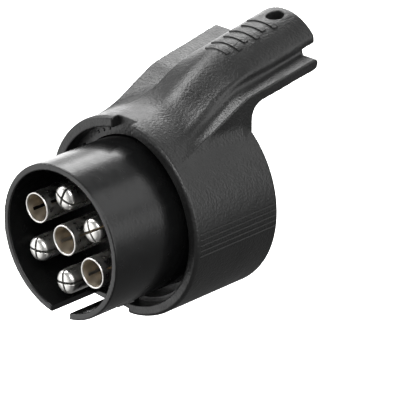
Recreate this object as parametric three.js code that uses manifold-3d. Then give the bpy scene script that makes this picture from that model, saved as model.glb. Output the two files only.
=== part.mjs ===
// Seven-pole plug to thirteen-pole socket adapter for trailer lights.
// Millimetres. +Z is up, +Y runs from the plug end to the socket end and +X is to the
// right when facing the plug. The origin lies on the plug axis, in the plane of the
// collar's front face, where the vehicle's socket meets it. Angles are about the plug
// axis, from +X towards +Z.

import * as THREE from 'three';
import { mergeVertices } from 'three/addons/utils/BufferGeometryUtils.js';
import Module from 'manifold-3d';

const wasm = await Module();
wasm.setup();

// ---- Driving sizes: body and collar -------------------------------------------------
const COLLAR_CLEARANCE = 3.0;
const BODY_LENGTH = 27.0;
const BODY_FRONT_FILLET = 0.9;
const BODY_REAR_FILLET = 0.8;
const COLLAR_WALL = 2.6;
const COLLAR_STEP_WALL = 3.7;
const COLLAR_STEP_DEPTH = 3.65;
const RECESS_DEPTH = 8.0;
const MID_WALL = 1.8;
const SOCKET_WALL = 3.2;
const LEDGE_HALF_ANGLE = 51;
const TOP_NOTCH_WIDTH = 6.2;
const TOP_NOTCH_DEPTH = 2.0;
const BOTTOM_NOTCH_WIDTH = 3.8;
const BOTTOM_NOTCH_DEPTH = 2.1;
const FLANK_RIB_COUNT = 5;
const FLANK_RIB_PITCH = 3.2;
const FLANK_RIB_WIDTH = 0.4;
const FLANK_RIB_HEIGHT = 0.25;
const BAYONET_SLOT_COUNT = 3;
const BAYONET_SLOT_WIDTH = 6.0;
const BAYONET_SLOT_DEPTH = 1.3;
const BAYONET_SLOT_LENGTH = 7.0;
const BAYONET_TURN_ANGLE = 32;
const BAYONET_TURN_LENGTH = 2.8;

// ---- Driving sizes: handle ----------------------------------------------------------
// Its lines run through points measured from the top of the body's rear face.
const WING_HALF_WIDTH_FRONT = 15.2;
const WING_HALF_WIDTH_REAR = 16.4;
const WING_THICKNESS = 2.6;
const WING_FRONT = { y: -16.25, z: -4.6 };
const WING_BEND = { y: -1.85, z: 2.55 };
const WING_REAR = { y: 21.4, z: 6.4 };
const WING_CORNER_RADIUS = 1.0;
const WING_EDGE_CUT = 0.4;
const NECK_FILLET = 3.3;
const RIDGE_OFFSET = 2.0;
const RIDGE_HALF_WIDTH = 9.4;
const RIDGE_SIDE_HEIGHT = 2.65;
const RIDGE_ARCH_POWER = 1.55;
const RIDGE_WALL = 2.4;
const RIDGE_FOOT = { y: -15.4, z: 0 };
const RIDGE_OVERHANG_LIFT = 0.75;
const RIDGE_BEND = { y: -1.85, z: 9.0 };
const RIDGE_END = { y: 25.4, z: 13.9 };
const RIDGE_HOLE_RADIUS = 2.15;
const RIDGE_HOLE_FROM_END = 3.7;
const NECK_POCKET_DEPTH = 11.0;
const WING_BEND_REACH = 2.2;
const RIDGE_BEND_REACH = 6.0;
const WING_STATION = 0.8;
const BEND_STATION = 1.5;
const ROOT_OVERLAP = 6.0;
const WING_ROOT_REACH = 2.0;
const RIDGE_ROOT_REACH = 4.0;
const RIDGE_STATION = 4.0;

// ---- Driving sizes: plug end --------------------------------------------------------
const BARREL_RADIUS = 18.7;
const BARREL_WALL = 1.6;
const BARREL_REACH = 19.85;
const BARREL_EDGE = 0.3;
const KEYWAY_WIDTH = 6.0;
const KEYWAY_LENGTH = 13.7;
const WEB_DEPTH = 16.4;
const WEB_THICKNESS = 5.0;
const FLANGE_THICKNESS = 1.8;
const PLUG_PITCH_RADIUS = 10.52;
const TUBE_RADIUS = 3.7;
const TUBE_BORE_RADIUS = 3.25;
const TUBE_BORE_DEPTH = 14.0;
const TUBE_SETBACK = 1.57;
const TUBE_SLIT_WIDTH = 0.7;
const TUBE_SLIT_START = 1.6;
const TUBE_SLIT_LENGTH = 11.0;
const TUBE_SLIT_ANGLE = 30;
const PIN_RADIUS = 2.95;
const PIN_SETBACK = 1.0;
const PIN_TIP_FLAT = 2.0;
const PIN_TIP_LENGTH = 0.9;
const PIN_TIP_BULGE = 0.15;
const PIN_SLOT_WIDTH = 0.55;
const PIN_SLOT_LENGTH = 9.0;
const CONTACT_COLLAR_STEP = 0.5;
const CONTACT_COLLAR_LENGTH = 1.2;
const CONTACT_TAIL_RADIUS = 1.6;
const CONTACT_TAIL_LENGTH = 2.4;
const RETAINER_THICKNESS = 1.6;

// ---- Driving sizes: socket end ------------------------------------------------------
const CARRIER_DISC_THICKNESS = 1.8;
const ISLAND_RIM = 2.05;
const ISLAND_SETBACK = 1.5;
const ISLAND_CHAMFER = 0.8;
const ISLAND_KEY_WIDTH = 4.0;
const ISLAND_KEY_HEIGHT = 1.6;
const OUTER_SLEEVE_PITCH = 10.8;
const OUTER_SLEEVE_STATIONS = 9;
const INNER_SLEEVE_PITCH = 5.2;
const INNER_SLEEVE_COUNT = 5;
const SLEEVE_RADIUS = 1.75;
const SLEEVE_BORE_RADIUS = 1.25;
const SLEEVE_BORE_DEPTH = 9.5;
const SLEEVE_SETBACK = 0.8;
const SLEEVE_SEAT = 1.2;
const SLEEVE_TAIL_RADIUS = 1.0;
const SLEEVE_TAIL_LENGTH = 1.1;
const SLEEVE_SLIT_WIDTH = 0.4;
const SLEEVE_SLIT_LENGTH = 6.0;
const SEAL_WIDTH = 2.6;
const SEAL_THICKNESS = 1.2;
const SEAL_SHOULDER_SHARE = 0.6;

// ---- Driving sizes: fasteners, links and clearances ---------------------------------
// GAP parts neighbouring pieces. A cut runs OVERLAP past the faces it goes through.
const SCREW_COUNT = 3;
const SCREW_ANGLE = 8;
const SCREW_INSET = 3.5;
const SCREW_RADIUS = 1.1;
const SCREW_HEAD_RADIUS = 2.1;
const SCREW_HEAD_HEIGHT = 1.4;
const SCREW_ENGAGEMENT = 5.0;
const SCREW_RECESS_WIDTH = 0.6;
const SCREW_RECESS_DEPTH = 0.8;
const SCREW_BOSS_RADIUS = 2.1;
const SCREW_POINT_SHARE = 0.6;
const SCREW_HEAD_CHAMFER = 0.5;
const O_RING_RADIUS = 0.6;
const O_RING_SIDES = 6;
const LINK_RADIUS = 0.75;
const LINK_LEAD_SHARE = 0.06;
const GAP = 0.3;
const OVERLAP = 1.0;
const MERGE_DISTANCE = 1e-4;

// ---- Places worked out from the sizes -----------------------------------------------
const collarRadius = BARREL_RADIUS + COLLAR_CLEARANCE;
const bodyRadius = collarRadius + COLLAR_WALL;
const stepRadius = bodyRadius - COLLAR_STEP_WALL;
const socketRadius = bodyRadius - SOCKET_WALL;
const barrelHoleRadius = BARREL_RADIUS + GAP;
const barrelBore = BARREL_RADIUS - BARREL_WALL;
const barrelFront = -BARREL_REACH;
const midWallRear = RECESS_DEPTH + MID_WALL;
const flangeFront = midWallRear + GAP;
const flangeRear = flangeFront + FLANGE_THICKNESS;
const discFront = flangeRear + GAP;
const discRear = discFront + CARRIER_DISC_THICKNESS;
const discRadius = socketRadius - GAP;
const sealFront = discRear + GAP;
const sealInner = discRadius - SEAL_WIDTH;
const islandRadius = OUTER_SLEEVE_PITCH + SLEEVE_RADIUS + ISLAND_RIM;
const islandFace = BODY_LENGTH - ISLAND_SETBACK;
const webFront = barrelFront + WEB_DEPTH;
const webRear = webFront + WEB_THICKNESS;
const collarPieceFront = webRear + GAP;
const collarPieceRear = collarPieceFront + CONTACT_COLLAR_LENGTH;
const retainerFront = collarPieceRear + GAP;
const retainerRear = retainerFront + RETAINER_THICKNESS;
const contactTailEnd = retainerRear + CONTACT_TAIL_LENGTH;
const contactCollarRadius = TUBE_RADIUS + CONTACT_COLLAR_STEP;
const screwPitchRadius = BARREL_RADIUS - SCREW_INSET;
const sleeveTailEnd = discFront - SLEEVE_TAIL_LENGTH;
const oRingPitch = (barrelHoleRadius + socketRadius) / 2;

function fromBody(point) {
  return { y: BODY_LENGTH + point.y, z: bodyRadius + point.z };
}

const wingFront = fromBody(WING_FRONT);
const wingBend = fromBody(WING_BEND);
const wingRear = fromBody(WING_REAR);
const ridgeFoot = fromBody(RIDGE_FOOT);
const ridgeBend = fromBody(RIDGE_BEND);
const ridgeEnd = fromBody(RIDGE_END);

const ROUND = 56;
const HALF_ROUND = 36;
const SMALL_ROUND = 16;
const TINY_ROUND = 10;
const TUBE_ROUND = 20;
const PIN_ROUND = 18;
const SLEEVE_ROUND = 12;
const ARCH_STEPS = 14;
const LEDGE_ROUND = 7;
const LINK_STEPS = 6;
const LINK_ROUND = 4;
const SLOT_ROUND = 4;

// ---- Shape helpers ------------------------------------------------------------------
const radians = THREE.MathUtils.degToRad;

function onCircle(radius, angle) {
  return { x: radius * Math.cos(radians(angle)), z: radius * Math.sin(radians(angle)) };
}

function mix(a, b, share) {
  return a + (b - a) * share;
}

// A closed, merged geometry becomes a solid that can be cut and joined.
function solidOf(source) {
  const geometry = source.clone();
  geometry.deleteAttribute('normal');
  geometry.deleteAttribute('uv');
  const merged = mergeVertices(geometry, MERGE_DISTANCE);
  const places = merged.getAttribute('position').array;
  const index = merged.index.array;
  const kept = [];
  let volume = 0;
  for (let i = 0; i < index.length; i += 3) {
    const [a, b, c] = [index[i], index[i + 1], index[i + 2]];
    if (a === b || b === c || c === a) continue;
    kept.push(a, b, c);
    const [p, q, r] = [a, b, c].map((k) => new THREE.Vector3().fromArray(places, k * 3));
    volume += p.dot(q.cross(r)) / 6;
  }
  if (volume < 0) kept.reverse();
  const mesh = new wasm.Mesh({
    numProp: 3,
    vertProperties: Float32Array.from(places),
    triVerts: Uint32Array.from(kept),
  });
  return new wasm.Manifold(mesh);
}

// A solid of revolution about the plug axis, from [radius, y] points.
function turned(profile, segments = ROUND) {
  const points = profile.map(([radius, y]) => new THREE.Vector2(Math.max(radius, 0), y));
  points.push(points[0].clone());
  return solidOf(new THREE.LatheGeometry(points, segments));
}

// A solid of revolution about a line beside the plug axis.
function turnedAt(profile, place, segments = SMALL_ROUND) {
  return turned(profile, segments).translate([place.x, 0, place.z]);
}

function rod(radius, front, rear, place = { x: 0, z: 0 }, segments = SMALL_ROUND) {
  return turnedAt([[0, front], [radius, front], [radius, rear], [0, rear]], place, segments);
}

function block(x0, x1, y0, y1, z0, z1) {
  const geometry = new THREE.BoxGeometry(x1 - x0, y1 - y0, z1 - z0);
  geometry.translate((x0 + x1) / 2, (y0 + y1) / 2, (z0 + z1) / 2);
  return solidOf(geometry);
}

// A block that reaches from the plug axis outwards at an angle.
function radialBlock(angle, width, r0, r1, y0, y1) {
  return block(r0, r1, y0, y1, -width / 2, width / 2).rotate([0, -angle, 0]);
}

// A shape drawn in X and Z, carried along Y.
function alongY(shape, front, rear, curveSegments = 12) {
  const geometry = new THREE.ExtrudeGeometry(shape, {
    depth: rear - front, bevelEnabled: false, curveSegments,
  });
  const turn = new THREE.Matrix4().makeBasis(
    new THREE.Vector3(1, 0, 0), new THREE.Vector3(0, 0, 1), new THREE.Vector3(0, -1, 0));
  geometry.applyMatrix4(turn).translate(0, rear, 0);
  return solidOf(geometry);
}

// A shape drawn in Y and Z, carried along X.
function alongX(shape, halfWidth, curveSegments = 8) {
  const geometry = new THREE.ExtrudeGeometry(shape, {
    depth: 2 * halfWidth, bevelEnabled: false, curveSegments,
  });
  const turn = new THREE.Matrix4().makeBasis(
    new THREE.Vector3(0, 1, 0), new THREE.Vector3(0, 0, 1), new THREE.Vector3(1, 0, 0));
  geometry.applyMatrix4(turn).translate(-halfWidth, 0, 0);
  return geometry;
}

// A part of a ring between two angles.
function ringPart(inner, outer, startAngle, endAngle, front, rear, curveSegments) {
  const shape = new THREE.Shape();
  shape.absarc(0, 0, outer, radians(startAngle), radians(endAngle), false);
  shape.absarc(0, 0, inner, radians(endAngle), radians(startAngle), true);
  shape.closePath();
  return alongY(shape, front, rear, curveSegments);
}

// A skin over rings of equal count, closed by a fan at each end.
function lofted(rings) {
  const count = rings[0].length;
  const places = rings.flat().flatMap((point) => point.toArray());
  const index = [];
  for (let ring = 0; ring + 1 < rings.length; ring += 1) {
    for (let k = 0; k < count; k += 1) {
      const a = ring * count + k;
      const b = ring * count + (k + 1) % count;
      index.push(a, b, a + count, b, b + count, a + count);
    }
  }
  for (const [ring, flip] of [[0, false], [rings.length - 1, true]]) {
    const middle = places.length / 3;
    const centre = new THREE.Vector3();
    rings[ring].forEach((point) => centre.addScaledVector(point, 1 / count));
    places.push(...centre.toArray());
    for (let k = 0; k < count; k += 1) {
      const a = ring * count + k;
      const b = ring * count + (k + 1) % count;
      index.push(...(flip ? [a, b, middle] : [b, a, middle]));
    }
  }
  const geometry = new THREE.BufferGeometry();
  geometry.setAttribute('position', new THREE.Float32BufferAttribute(places, 3));
  geometry.setIndex(index);
  return solidOf(geometry);
}

// The quarter round between two [radius, y] ends, as points of a turned profile.
function quarter(centreRadius, centreY, radius, startAngle, steps = 4) {
  const points = [];
  for (let k = 0; k <= steps; k += 1) {
    const angle = radians(startAngle + 90 * k / steps);
    points.push([centreRadius + radius * Math.cos(angle), centreY + radius * Math.sin(angle)]);
  }
  return points;
}

// ---- Handle outlines ----------------------------------------------------------------
// Height at y of two straight runs with a smooth bend between them.
function bentLine(front, bend, rear, reach, y) {
  const frontSlope = (bend.z - front.z) / (bend.y - front.y);
  const rearSlope = (rear.z - bend.z) / (rear.y - bend.y);
  const past = y - bend.y;
  if (Math.abs(past) >= reach) return bend.z + (past < 0 ? frontSlope : rearSlope) * past;
  const turn = (past + reach) ** 2 / (4 * reach);
  return bend.z + frontSlope * past + (rearSlope - frontSlope) * turn;
}

function wingTop(y) {
  return bentLine(wingFront, wingBend, wingRear, WING_BEND_REACH, y);
}

function ridgeTop(y) {
  return bentLine(ridgeFoot, ridgeBend, ridgeEnd, RIDGE_BEND_REACH, y);
}

// Where the handle's solids end below, inside the body's wall.
const rootZ = (bodyRadius + socketRadius) / 2;

// One ring across the ridge at y: a flat base, two upright sides and an arched top.
function ridgeRing(y, inset, baseZ) {
  const halfWidth = RIDGE_HALF_WIDTH - inset;
  const top = ridgeTop(y) - inset;
  const shoulder = Math.max(Math.min(wingTop(y) + RIDGE_SIDE_HEIGHT, top - OVERLAP), baseZ + GAP);
  const ring = [new THREE.Vector3(RIDGE_OFFSET - halfWidth, y, baseZ)];
  for (let k = 0; k <= ARCH_STEPS; k += 1) {
    const angle = Math.PI * k / ARCH_STEPS;
    const across = -Math.cos(angle);
    const x = RIDGE_OFFSET + halfWidth * Math.sign(across)
      * Math.abs(across) ** (2 / RIDGE_ARCH_POWER);
    const rise = Math.max(Math.sin(angle), 0) ** (2 / RIDGE_ARCH_POWER);
    ring.push(new THREE.Vector3(x, y, shoulder + (top - shoulder) * rise));
  }
  ring.push(new THREE.Vector3(RIDGE_OFFSET + halfWidth, y, baseZ));
  return ring;
}

function stations(from, to, spacing) {
  const count = Math.max(1, Math.round((to - from) / spacing));
  return Array.from({ length: count + 1 }, (_, k) => mix(from, to, k / count));
}

// ---- Materials ----------------------------------------------------------------------
function finish(color, roughness, metalness) {
  return new THREE.MeshStandardMaterial({ color, roughness, metalness });
}

const housingPlastic = () => finish(0x2b2c2d, 0.55, 0);
const barrelPlastic = () => finish(0x1c1d1e, 0.42, 0);
const insertPlastic = () => finish(0x141516, 0.6, 0);
const nickel = () => finish(0xd9d8d2, 0.22, 1);
const brass = () => finish(0xc2a35c, 0.3, 1);
const rubber = () => finish(0x1a1a1a, 0.8, 0);
const steel = () => finish(0xb4b6b8, 0.35, 1);
const copper = () => finish(0xb5714a, 0.35, 1);

const adapter = new THREE.Group();

function addPiece(name, solid, material, place = { x: 0, z: 0 }) {
  const { vertProperties, triVerts } = solid.getMesh();
  const geometry = new THREE.BufferGeometry();
  geometry.setAttribute('position', new THREE.BufferAttribute(vertProperties, 3));
  geometry.setIndex(new THREE.BufferAttribute(triVerts, 1));
  geometry.computeVertexNormals();
  const mesh = new THREE.Mesh(geometry, material);
  mesh.name = name;
  mesh.position.set(place.x, 0, place.z);
  adapter.add(mesh);
}

// ---- Housing: collar, body and handle in one moulding -------------------------------
function bodySolid() {
  const body = turned([
    [0, 0],
    ...quarter(bodyRadius - BODY_FRONT_FILLET, BODY_FRONT_FILLET, BODY_FRONT_FILLET, -90),
    ...quarter(bodyRadius - BODY_REAR_FILLET, BODY_LENGTH - BODY_REAR_FILLET,
      BODY_REAR_FILLET, 0),
    [0, BODY_LENGTH],
  ]);
  return flankRibs().reduce((solid, rib) => solid.add(rib), body);
}

function flankRibs() {
  const ribs = [];
  for (let k = 0; k < FLANK_RIB_COUNT; k += 1) {
    const lift = FLANK_RIB_PITCH * (k - (FLANK_RIB_COUNT - 1) / 2);
    for (const angle of [lift, 180 - lift]) {
      ribs.push(radialBlock(angle, FLANK_RIB_WIDTH, socketRadius + GAP,
        bodyRadius + FLANK_RIB_HEIGHT, BODY_FRONT_FILLET, BODY_LENGTH - BODY_REAR_FILLET));
    }
  }
  return ribs;
}

function wingSolid() {
  const outline = new THREE.Shape();
  const underside = (y) => wingTop(y) - WING_THICKNESS;
  const front = wingFront.y - WING_ROOT_REACH;
  const bendStart = wingBend.y - WING_BEND_REACH;
  const tops = [front, ...stations(bendStart, wingBend.y + WING_BEND_REACH, WING_STATION)];
  outline.moveTo(front, rootZ - ROOT_OVERLAP);
  tops.forEach((y) => outline.lineTo(y, wingTop(y)));
  const corner = wingRear.y - WING_EDGE_CUT;
  outline.lineTo(corner, wingTop(corner));
  outline.lineTo(wingRear.y, wingTop(corner) - WING_EDGE_CUT);
  outline.lineTo(wingRear.y, underside(wingRear.y));
  const filletEnd = BODY_LENGTH + NECK_FILLET;
  outline.lineTo(filletEnd, underside(filletEnd));
  outline.quadraticCurveTo(BODY_LENGTH, underside(BODY_LENGTH),
    BODY_LENGTH, underside(BODY_LENGTH) - NECK_FILLET);
  outline.lineTo(BODY_LENGTH, rootZ - ROOT_OVERLAP);
  outline.closePath();
  const geometry = alongX(outline, 1, 5);
  const places = geometry.getAttribute('position');
  for (let k = 0; k < places.count; k += 1) {
    places.setX(k, places.getX(k) * wingHalfWidth(places.getY(k)));
  }
  return solidOf(geometry).intersect(wingCornerRounds());
}

function wingHalfWidth(y) {
  const along = (y - wingFront.y) / (wingRear.y - wingFront.y);
  return mix(WING_HALF_WIDTH_FRONT, WING_HALF_WIDTH_REAR, along);
}

// The plan of the wings, with its two rear corners rounded.
function wingCornerRounds() {
  const plan = new THREE.Shape();
  const half = WING_HALF_WIDTH_REAR;
  const round = WING_CORNER_RADIUS;
  plan.moveTo(-half - OVERLAP, -OVERLAP);
  plan.lineTo(half + OVERLAP, -OVERLAP);
  plan.lineTo(half, wingRear.y - round);
  plan.quadraticCurveTo(half, wingRear.y, half - round, wingRear.y);
  plan.lineTo(round - half, wingRear.y);
  plan.quadraticCurveTo(-half, wingRear.y, -half, wingRear.y - round);
  plan.closePath();
  const geometry = new THREE.ExtrudeGeometry(plan, {
    depth: ridgeEnd.z + bodyRadius, bevelEnabled: false, curveSegments: 4,
  });
  return solidOf(geometry);
}

function ridgeSolid() {
  const ys = [
    ...stations(ridgeFoot.y - RIDGE_ROOT_REACH,
      ridgeBend.y - RIDGE_BEND_REACH - RIDGE_STATION, RIDGE_STATION),
    ...stations(ridgeBend.y - RIDGE_BEND_REACH, ridgeBend.y + RIDGE_BEND_REACH,
      BEND_STATION),
    ridgeEnd.y,
  ];
  return lofted(ys.map((y) => {
    const behindNeck = y > BODY_LENGTH + NECK_FILLET;
    return ridgeRing(y, 0, behindNeck ? wingTop(y) - WING_THICKNESS / 2 : rootZ);
  })).subtract(overhangRelief());
}

// Behind the wings the ridge's side walls end a little above the wings' top face.
function overhangRelief() {
  const outline = new THREE.Shape();
  const rear = ridgeEnd.y + OVERLAP;
  outline.moveTo(wingRear.y, wingTop(wingRear.y) + RIDGE_OVERHANG_LIFT);
  outline.lineTo(wingRear.y, wingTop(wingRear.y) - WING_THICKNESS);
  outline.lineTo(rear, wingTop(wingRear.y) - WING_THICKNESS);
  outline.lineTo(rear, wingTop(rear) + RIDGE_OVERHANG_LIFT);
  outline.closePath();
  return solidOf(alongX(outline, RIDGE_HALF_WIDTH + RIDGE_OFFSET + OVERLAP));
}

// The hollow under the ridge: a pocket in the neck and an open channel behind it.
function ridgeHollow() {
  const pocketFloor = bodyRadius + GAP;
  const channelFloor = (y) => wingTop(y) - WING_THICKNESS - OVERLAP;
  const pocket = stations(BODY_LENGTH - NECK_POCKET_DEPTH, BODY_LENGTH + OVERLAP, RIDGE_STATION)
    .map((y) => ridgeRing(y, RIDGE_WALL, pocketFloor));
  const channel = stations(BODY_LENGTH, ridgeEnd.y + OVERLAP, RIDGE_STATION)
    .map((y) => ridgeRing(y, RIDGE_WALL, channelFloor(y)));
  return lofted(pocket).add(lofted(channel));
}

function housingHollows() {
  const front = -OVERLAP;
  const rear = BODY_LENGTH + OVERLAP;
  const hollows = turned([
    [0, front], [collarRadius, front], [collarRadius, COLLAR_STEP_DEPTH],
    [stepRadius, COLLAR_STEP_DEPTH], [stepRadius, RECESS_DEPTH],
    [barrelHoleRadius, RECESS_DEPTH], [barrelHoleRadius, midWallRear],
    [socketRadius, midWallRear], [socketRadius, rear], [0, rear],
  ]);
  const ledge = ringPart(barrelHoleRadius, collarRadius + OVERLAP, 90 - LEDGE_HALF_ANGLE,
    90 + LEDGE_HALF_ANGLE, COLLAR_STEP_DEPTH, RECESS_DEPTH + OVERLAP, LEDGE_ROUND);
  const notch = block(-TOP_NOTCH_WIDTH / 2, TOP_NOTCH_WIDTH / 2, front, TOP_NOTCH_DEPTH,
    collarRadius - OVERLAP, bodyRadius + OVERLAP);
  const half = BOTTOM_NOTCH_WIDTH / 2;
  const rimNotch = block(-half, half, front, BOTTOM_NOTCH_DEPTH,
    -bodyRadius - OVERLAP, -barrelHoleRadius);
  const stepNotch = block(-half, half, front, RECESS_DEPTH, -collarRadius, -barrelHoleRadius);
  return hollows.subtract(ledge).add(notch).add(rimNotch).add(stepNotch).add(bayonetSlots());
}

// Three L-shaped slots in the socket's wall take the lugs of the trailer plug's ring.
function bayonetSlots() {
  const slotRadius = socketRadius + BAYONET_SLOT_DEPTH;
  const inner = socketRadius - OVERLAP;
  const turnFront = BODY_LENGTH - BAYONET_SLOT_LENGTH;
  const halfAngle = THREE.MathUtils.radToDeg(BAYONET_SLOT_WIDTH / 2 / socketRadius);
  const slots = [];
  for (let k = 0; k < BAYONET_SLOT_COUNT; k += 1) {
    const angle = 90 + k * 360 / BAYONET_SLOT_COUNT;
    slots.push(ringPart(inner, slotRadius, angle - halfAngle, angle + halfAngle,
      turnFront, BODY_LENGTH + OVERLAP, SLOT_ROUND));
    slots.push(ringPart(inner, slotRadius, angle - halfAngle, angle + BAYONET_TURN_ANGLE,
      turnFront, turnFront + BAYONET_TURN_LENGTH, SLOT_ROUND));
  }
  return slots.reduce((all, slot) => all.add(slot));
}

function housing() {
  const hole = solidOf(new THREE.CylinderGeometry(RIDGE_HOLE_RADIUS, RIDGE_HOLE_RADIUS,
    ridgeEnd.z, SMALL_ROUND).rotateX(Math.PI / 2)
    .translate(RIDGE_OFFSET, ridgeEnd.y - RIDGE_HOLE_FROM_END, ridgeEnd.z));
  return bodySolid().add(wingSolid()).add(ridgeSolid())
    .subtract(ridgeHollow()).subtract(housingHollows()).subtract(hole);
}

addPiece('housing', housing(), housingPlastic());

// ---- Plug body: barrel, contact web and clamping flange -----------------------------
const screwPlaces = Array.from({ length: SCREW_COUNT }, (_, k) => (
  onCircle(screwPitchRadius, SCREW_ANGLE + k * 360 / SCREW_COUNT)));

const plugPlaces = [
  { name: 'tube_contact_centre', place: { x: 0, z: 0 }, tube: true },
  { name: 'tube_contact_upper', place: onCircle(PLUG_PITCH_RADIUS, 150), tube: true },
  { name: 'tube_contact_lower', place: onCircle(PLUG_PITCH_RADIUS, 330), tube: true },
  { name: 'pin_contact_top', place: onCircle(PLUG_PITCH_RADIUS, 90), turn: -20 },
  { name: 'pin_contact_right', place: onCircle(PLUG_PITCH_RADIUS, 30), turn: 30 },
  { name: 'pin_contact_left', place: onCircle(PLUG_PITCH_RADIUS, 210), turn: 3 },
  { name: 'pin_contact_bottom', place: onCircle(PLUG_PITCH_RADIUS, 270), turn: 10 },
];

function contactRadius(contact) {
  return contact.tube ? TUBE_RADIUS : PIN_RADIUS;
}

function plugBody() {
  const shell = turned([
    [0, webFront], [barrelBore, webFront],
    [barrelBore, barrelFront + BARREL_EDGE], [barrelBore + BARREL_EDGE, barrelFront],
    [BARREL_RADIUS - BARREL_EDGE, barrelFront], [BARREL_RADIUS, barrelFront + BARREL_EDGE],
    [BARREL_RADIUS, flangeFront], [discRadius, flangeFront], [discRadius, flangeRear],
    [barrelBore, flangeRear], [barrelBore, webRear], [0, webRear],
  ]);
  const bosses = screwPlaces.map((place) => rod(SCREW_BOSS_RADIUS, webRear - OVERLAP,
    flangeRear, place));
  const contactHoles = plugPlaces.map((contact) => rod(contactRadius(contact) + GAP,
    barrelFront - OVERLAP, webRear + OVERLAP, contact.place));
  const collarRooms = plugPlaces.map(({ place }) => rod(contactCollarRadius + GAP,
    collarPieceFront - GAP / 2, retainerFront, place));
  const screwHoles = screwPlaces.map((place) => rod(SCREW_RADIUS + GAP,
    flangeRear - SCREW_ENGAGEMENT - GAP, flangeRear + OVERLAP, place, TINY_ROUND));
  const keyway = block(-KEYWAY_WIDTH / 2, KEYWAY_WIDTH / 2, barrelFront - OVERLAP,
    barrelFront + KEYWAY_LENGTH, -BARREL_RADIUS - OVERLAP, OVERLAP - barrelBore);
  const groove = turned([
    [oRingPitch - O_RING_RADIUS - GAP, flangeFront - OVERLAP],
    [oRingPitch + O_RING_RADIUS + GAP, flangeFront - OVERLAP],
    [oRingPitch + O_RING_RADIUS + GAP, flangeFront + 2 * O_RING_RADIUS],
    [oRingPitch - O_RING_RADIUS - GAP, flangeFront + 2 * O_RING_RADIUS],
  ]);
  const joined = bosses.reduce((solid, boss) => solid.add(boss), shell);
  return [...contactHoles, ...collarRooms, ...screwHoles, keyway, groove]
    .reduce((solid, cut) => solid.subtract(cut), joined);
}

addPiece('plug_body', plugBody(), barrelPlastic());

// A round sealing ring in the flange's groove, against the housing's middle wall.
function barrelSeal() {
  const centre = flangeFront + O_RING_RADIUS;
  const section = [];
  for (let k = 0; k < O_RING_SIDES; k += 1) {
    const angle = k * 2 * Math.PI / O_RING_SIDES;
    section.push([oRingPitch + O_RING_RADIUS * Math.cos(angle),
      centre - GAP / 2 + O_RING_RADIUS * Math.sin(angle)]);
  }
  return turned(section, HALF_ROUND);
}

addPiece('barrel_seal', barrelSeal(), rubber());

// ---- Plug contacts ------------------------------------------------------------------
// The collar and the solder tail behind the web are the same on both kinds of contact.
function contactRear() {
  return [
    [contactCollarRadius, collarPieceFront], [contactCollarRadius, collarPieceRear],
    [CONTACT_TAIL_RADIUS, collarPieceRear], [CONTACT_TAIL_RADIUS, contactTailEnd],
    [0, contactTailEnd],
  ];
}

function tubeContact() {
  const front = barrelFront + TUBE_SETBACK;
  const boreRear = front + TUBE_BORE_DEPTH;
  const lip = (TUBE_RADIUS - TUBE_BORE_RADIUS) / 4;
  const body = turned([
    [0, boreRear], [TUBE_BORE_RADIUS, boreRear], [TUBE_BORE_RADIUS, front + lip],
    [TUBE_BORE_RADIUS + lip, front], [TUBE_RADIUS - lip, front], [TUBE_RADIUS, front + lip],
    [TUBE_RADIUS, collarPieceFront], ...contactRear(),
  ], TUBE_ROUND);
  const slit = radialBlock(TUBE_SLIT_ANGLE, TUBE_SLIT_WIDTH, -TUBE_RADIUS - OVERLAP,
    TUBE_RADIUS + OVERLAP, front + TUBE_SLIT_START, front + TUBE_SLIT_LENGTH);
  return body.subtract(slit);
}

function pinContact(turn) {
  const front = barrelFront + PIN_SETBACK;
  const body = turned([
    [0, front], [PIN_TIP_FLAT, front],
    [(PIN_TIP_FLAT + PIN_RADIUS) / 2 + PIN_TIP_BULGE, front + PIN_TIP_LENGTH / 3],
    [PIN_RADIUS, front + PIN_TIP_LENGTH],
    [PIN_RADIUS, collarPieceFront], ...contactRear(),
  ], PIN_ROUND);
  const slots = [turn, turn + 90].map((angle) => radialBlock(angle, PIN_SLOT_WIDTH,
    -PIN_RADIUS - OVERLAP, PIN_RADIUS + OVERLAP, front - OVERLAP, front + PIN_SLOT_LENGTH));
  return slots.reduce((solid, slot) => solid.subtract(slot), body);
}

plugPlaces.forEach((contact) => {
  const solid = contact.tube ? tubeContact() : pinContact(contact.turn);
  addPiece(contact.name, solid, nickel(), contact.place);
});

// A plate behind the web traps the collars of all the contacts.
function contactRetainer() {
  const plate = rod(barrelBore - GAP, retainerFront, retainerRear, { x: 0, z: 0 }, ROUND);
  const tails = plugPlaces.map(({ place }) => rod(CONTACT_TAIL_RADIUS + GAP,
    retainerFront - OVERLAP, retainerRear + OVERLAP, place, TINY_ROUND));
  const bosses = screwPlaces.map((place) => {
    const clear = rod(SCREW_BOSS_RADIUS + GAP, retainerFront - OVERLAP,
      retainerRear + OVERLAP, place);
    const angle = THREE.MathUtils.radToDeg(Math.atan2(place.z, place.x));
    return clear.add(radialBlock(angle, 2 * (SCREW_BOSS_RADIUS + GAP), screwPitchRadius,
      BARREL_RADIUS, retainerFront - OVERLAP, retainerRear + OVERLAP));
  });
  return [...tails, ...bosses].reduce((solid, cut) => solid.subtract(cut), plate);
}

addPiece('contact_retainer', contactRetainer(), insertPlastic());

// ---- Socket carrier: disc, contact island and key -----------------------------------
const outerAngles = Array.from({ length: OUTER_SLEEVE_STATIONS - 1 },
  (_, k) => 270 + (k + 1) * 360 / OUTER_SLEEVE_STATIONS);
const innerAngles = Array.from({ length: INNER_SLEEVE_COUNT },
  (_, k) => 90 + k * 360 / INNER_SLEEVE_COUNT);
const sleevePlaces = [
  ...outerAngles.map((angle) => onCircle(OUTER_SLEEVE_PITCH, angle)),
  ...innerAngles.map((angle) => onCircle(INNER_SLEEVE_PITCH, angle)),
];

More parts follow.
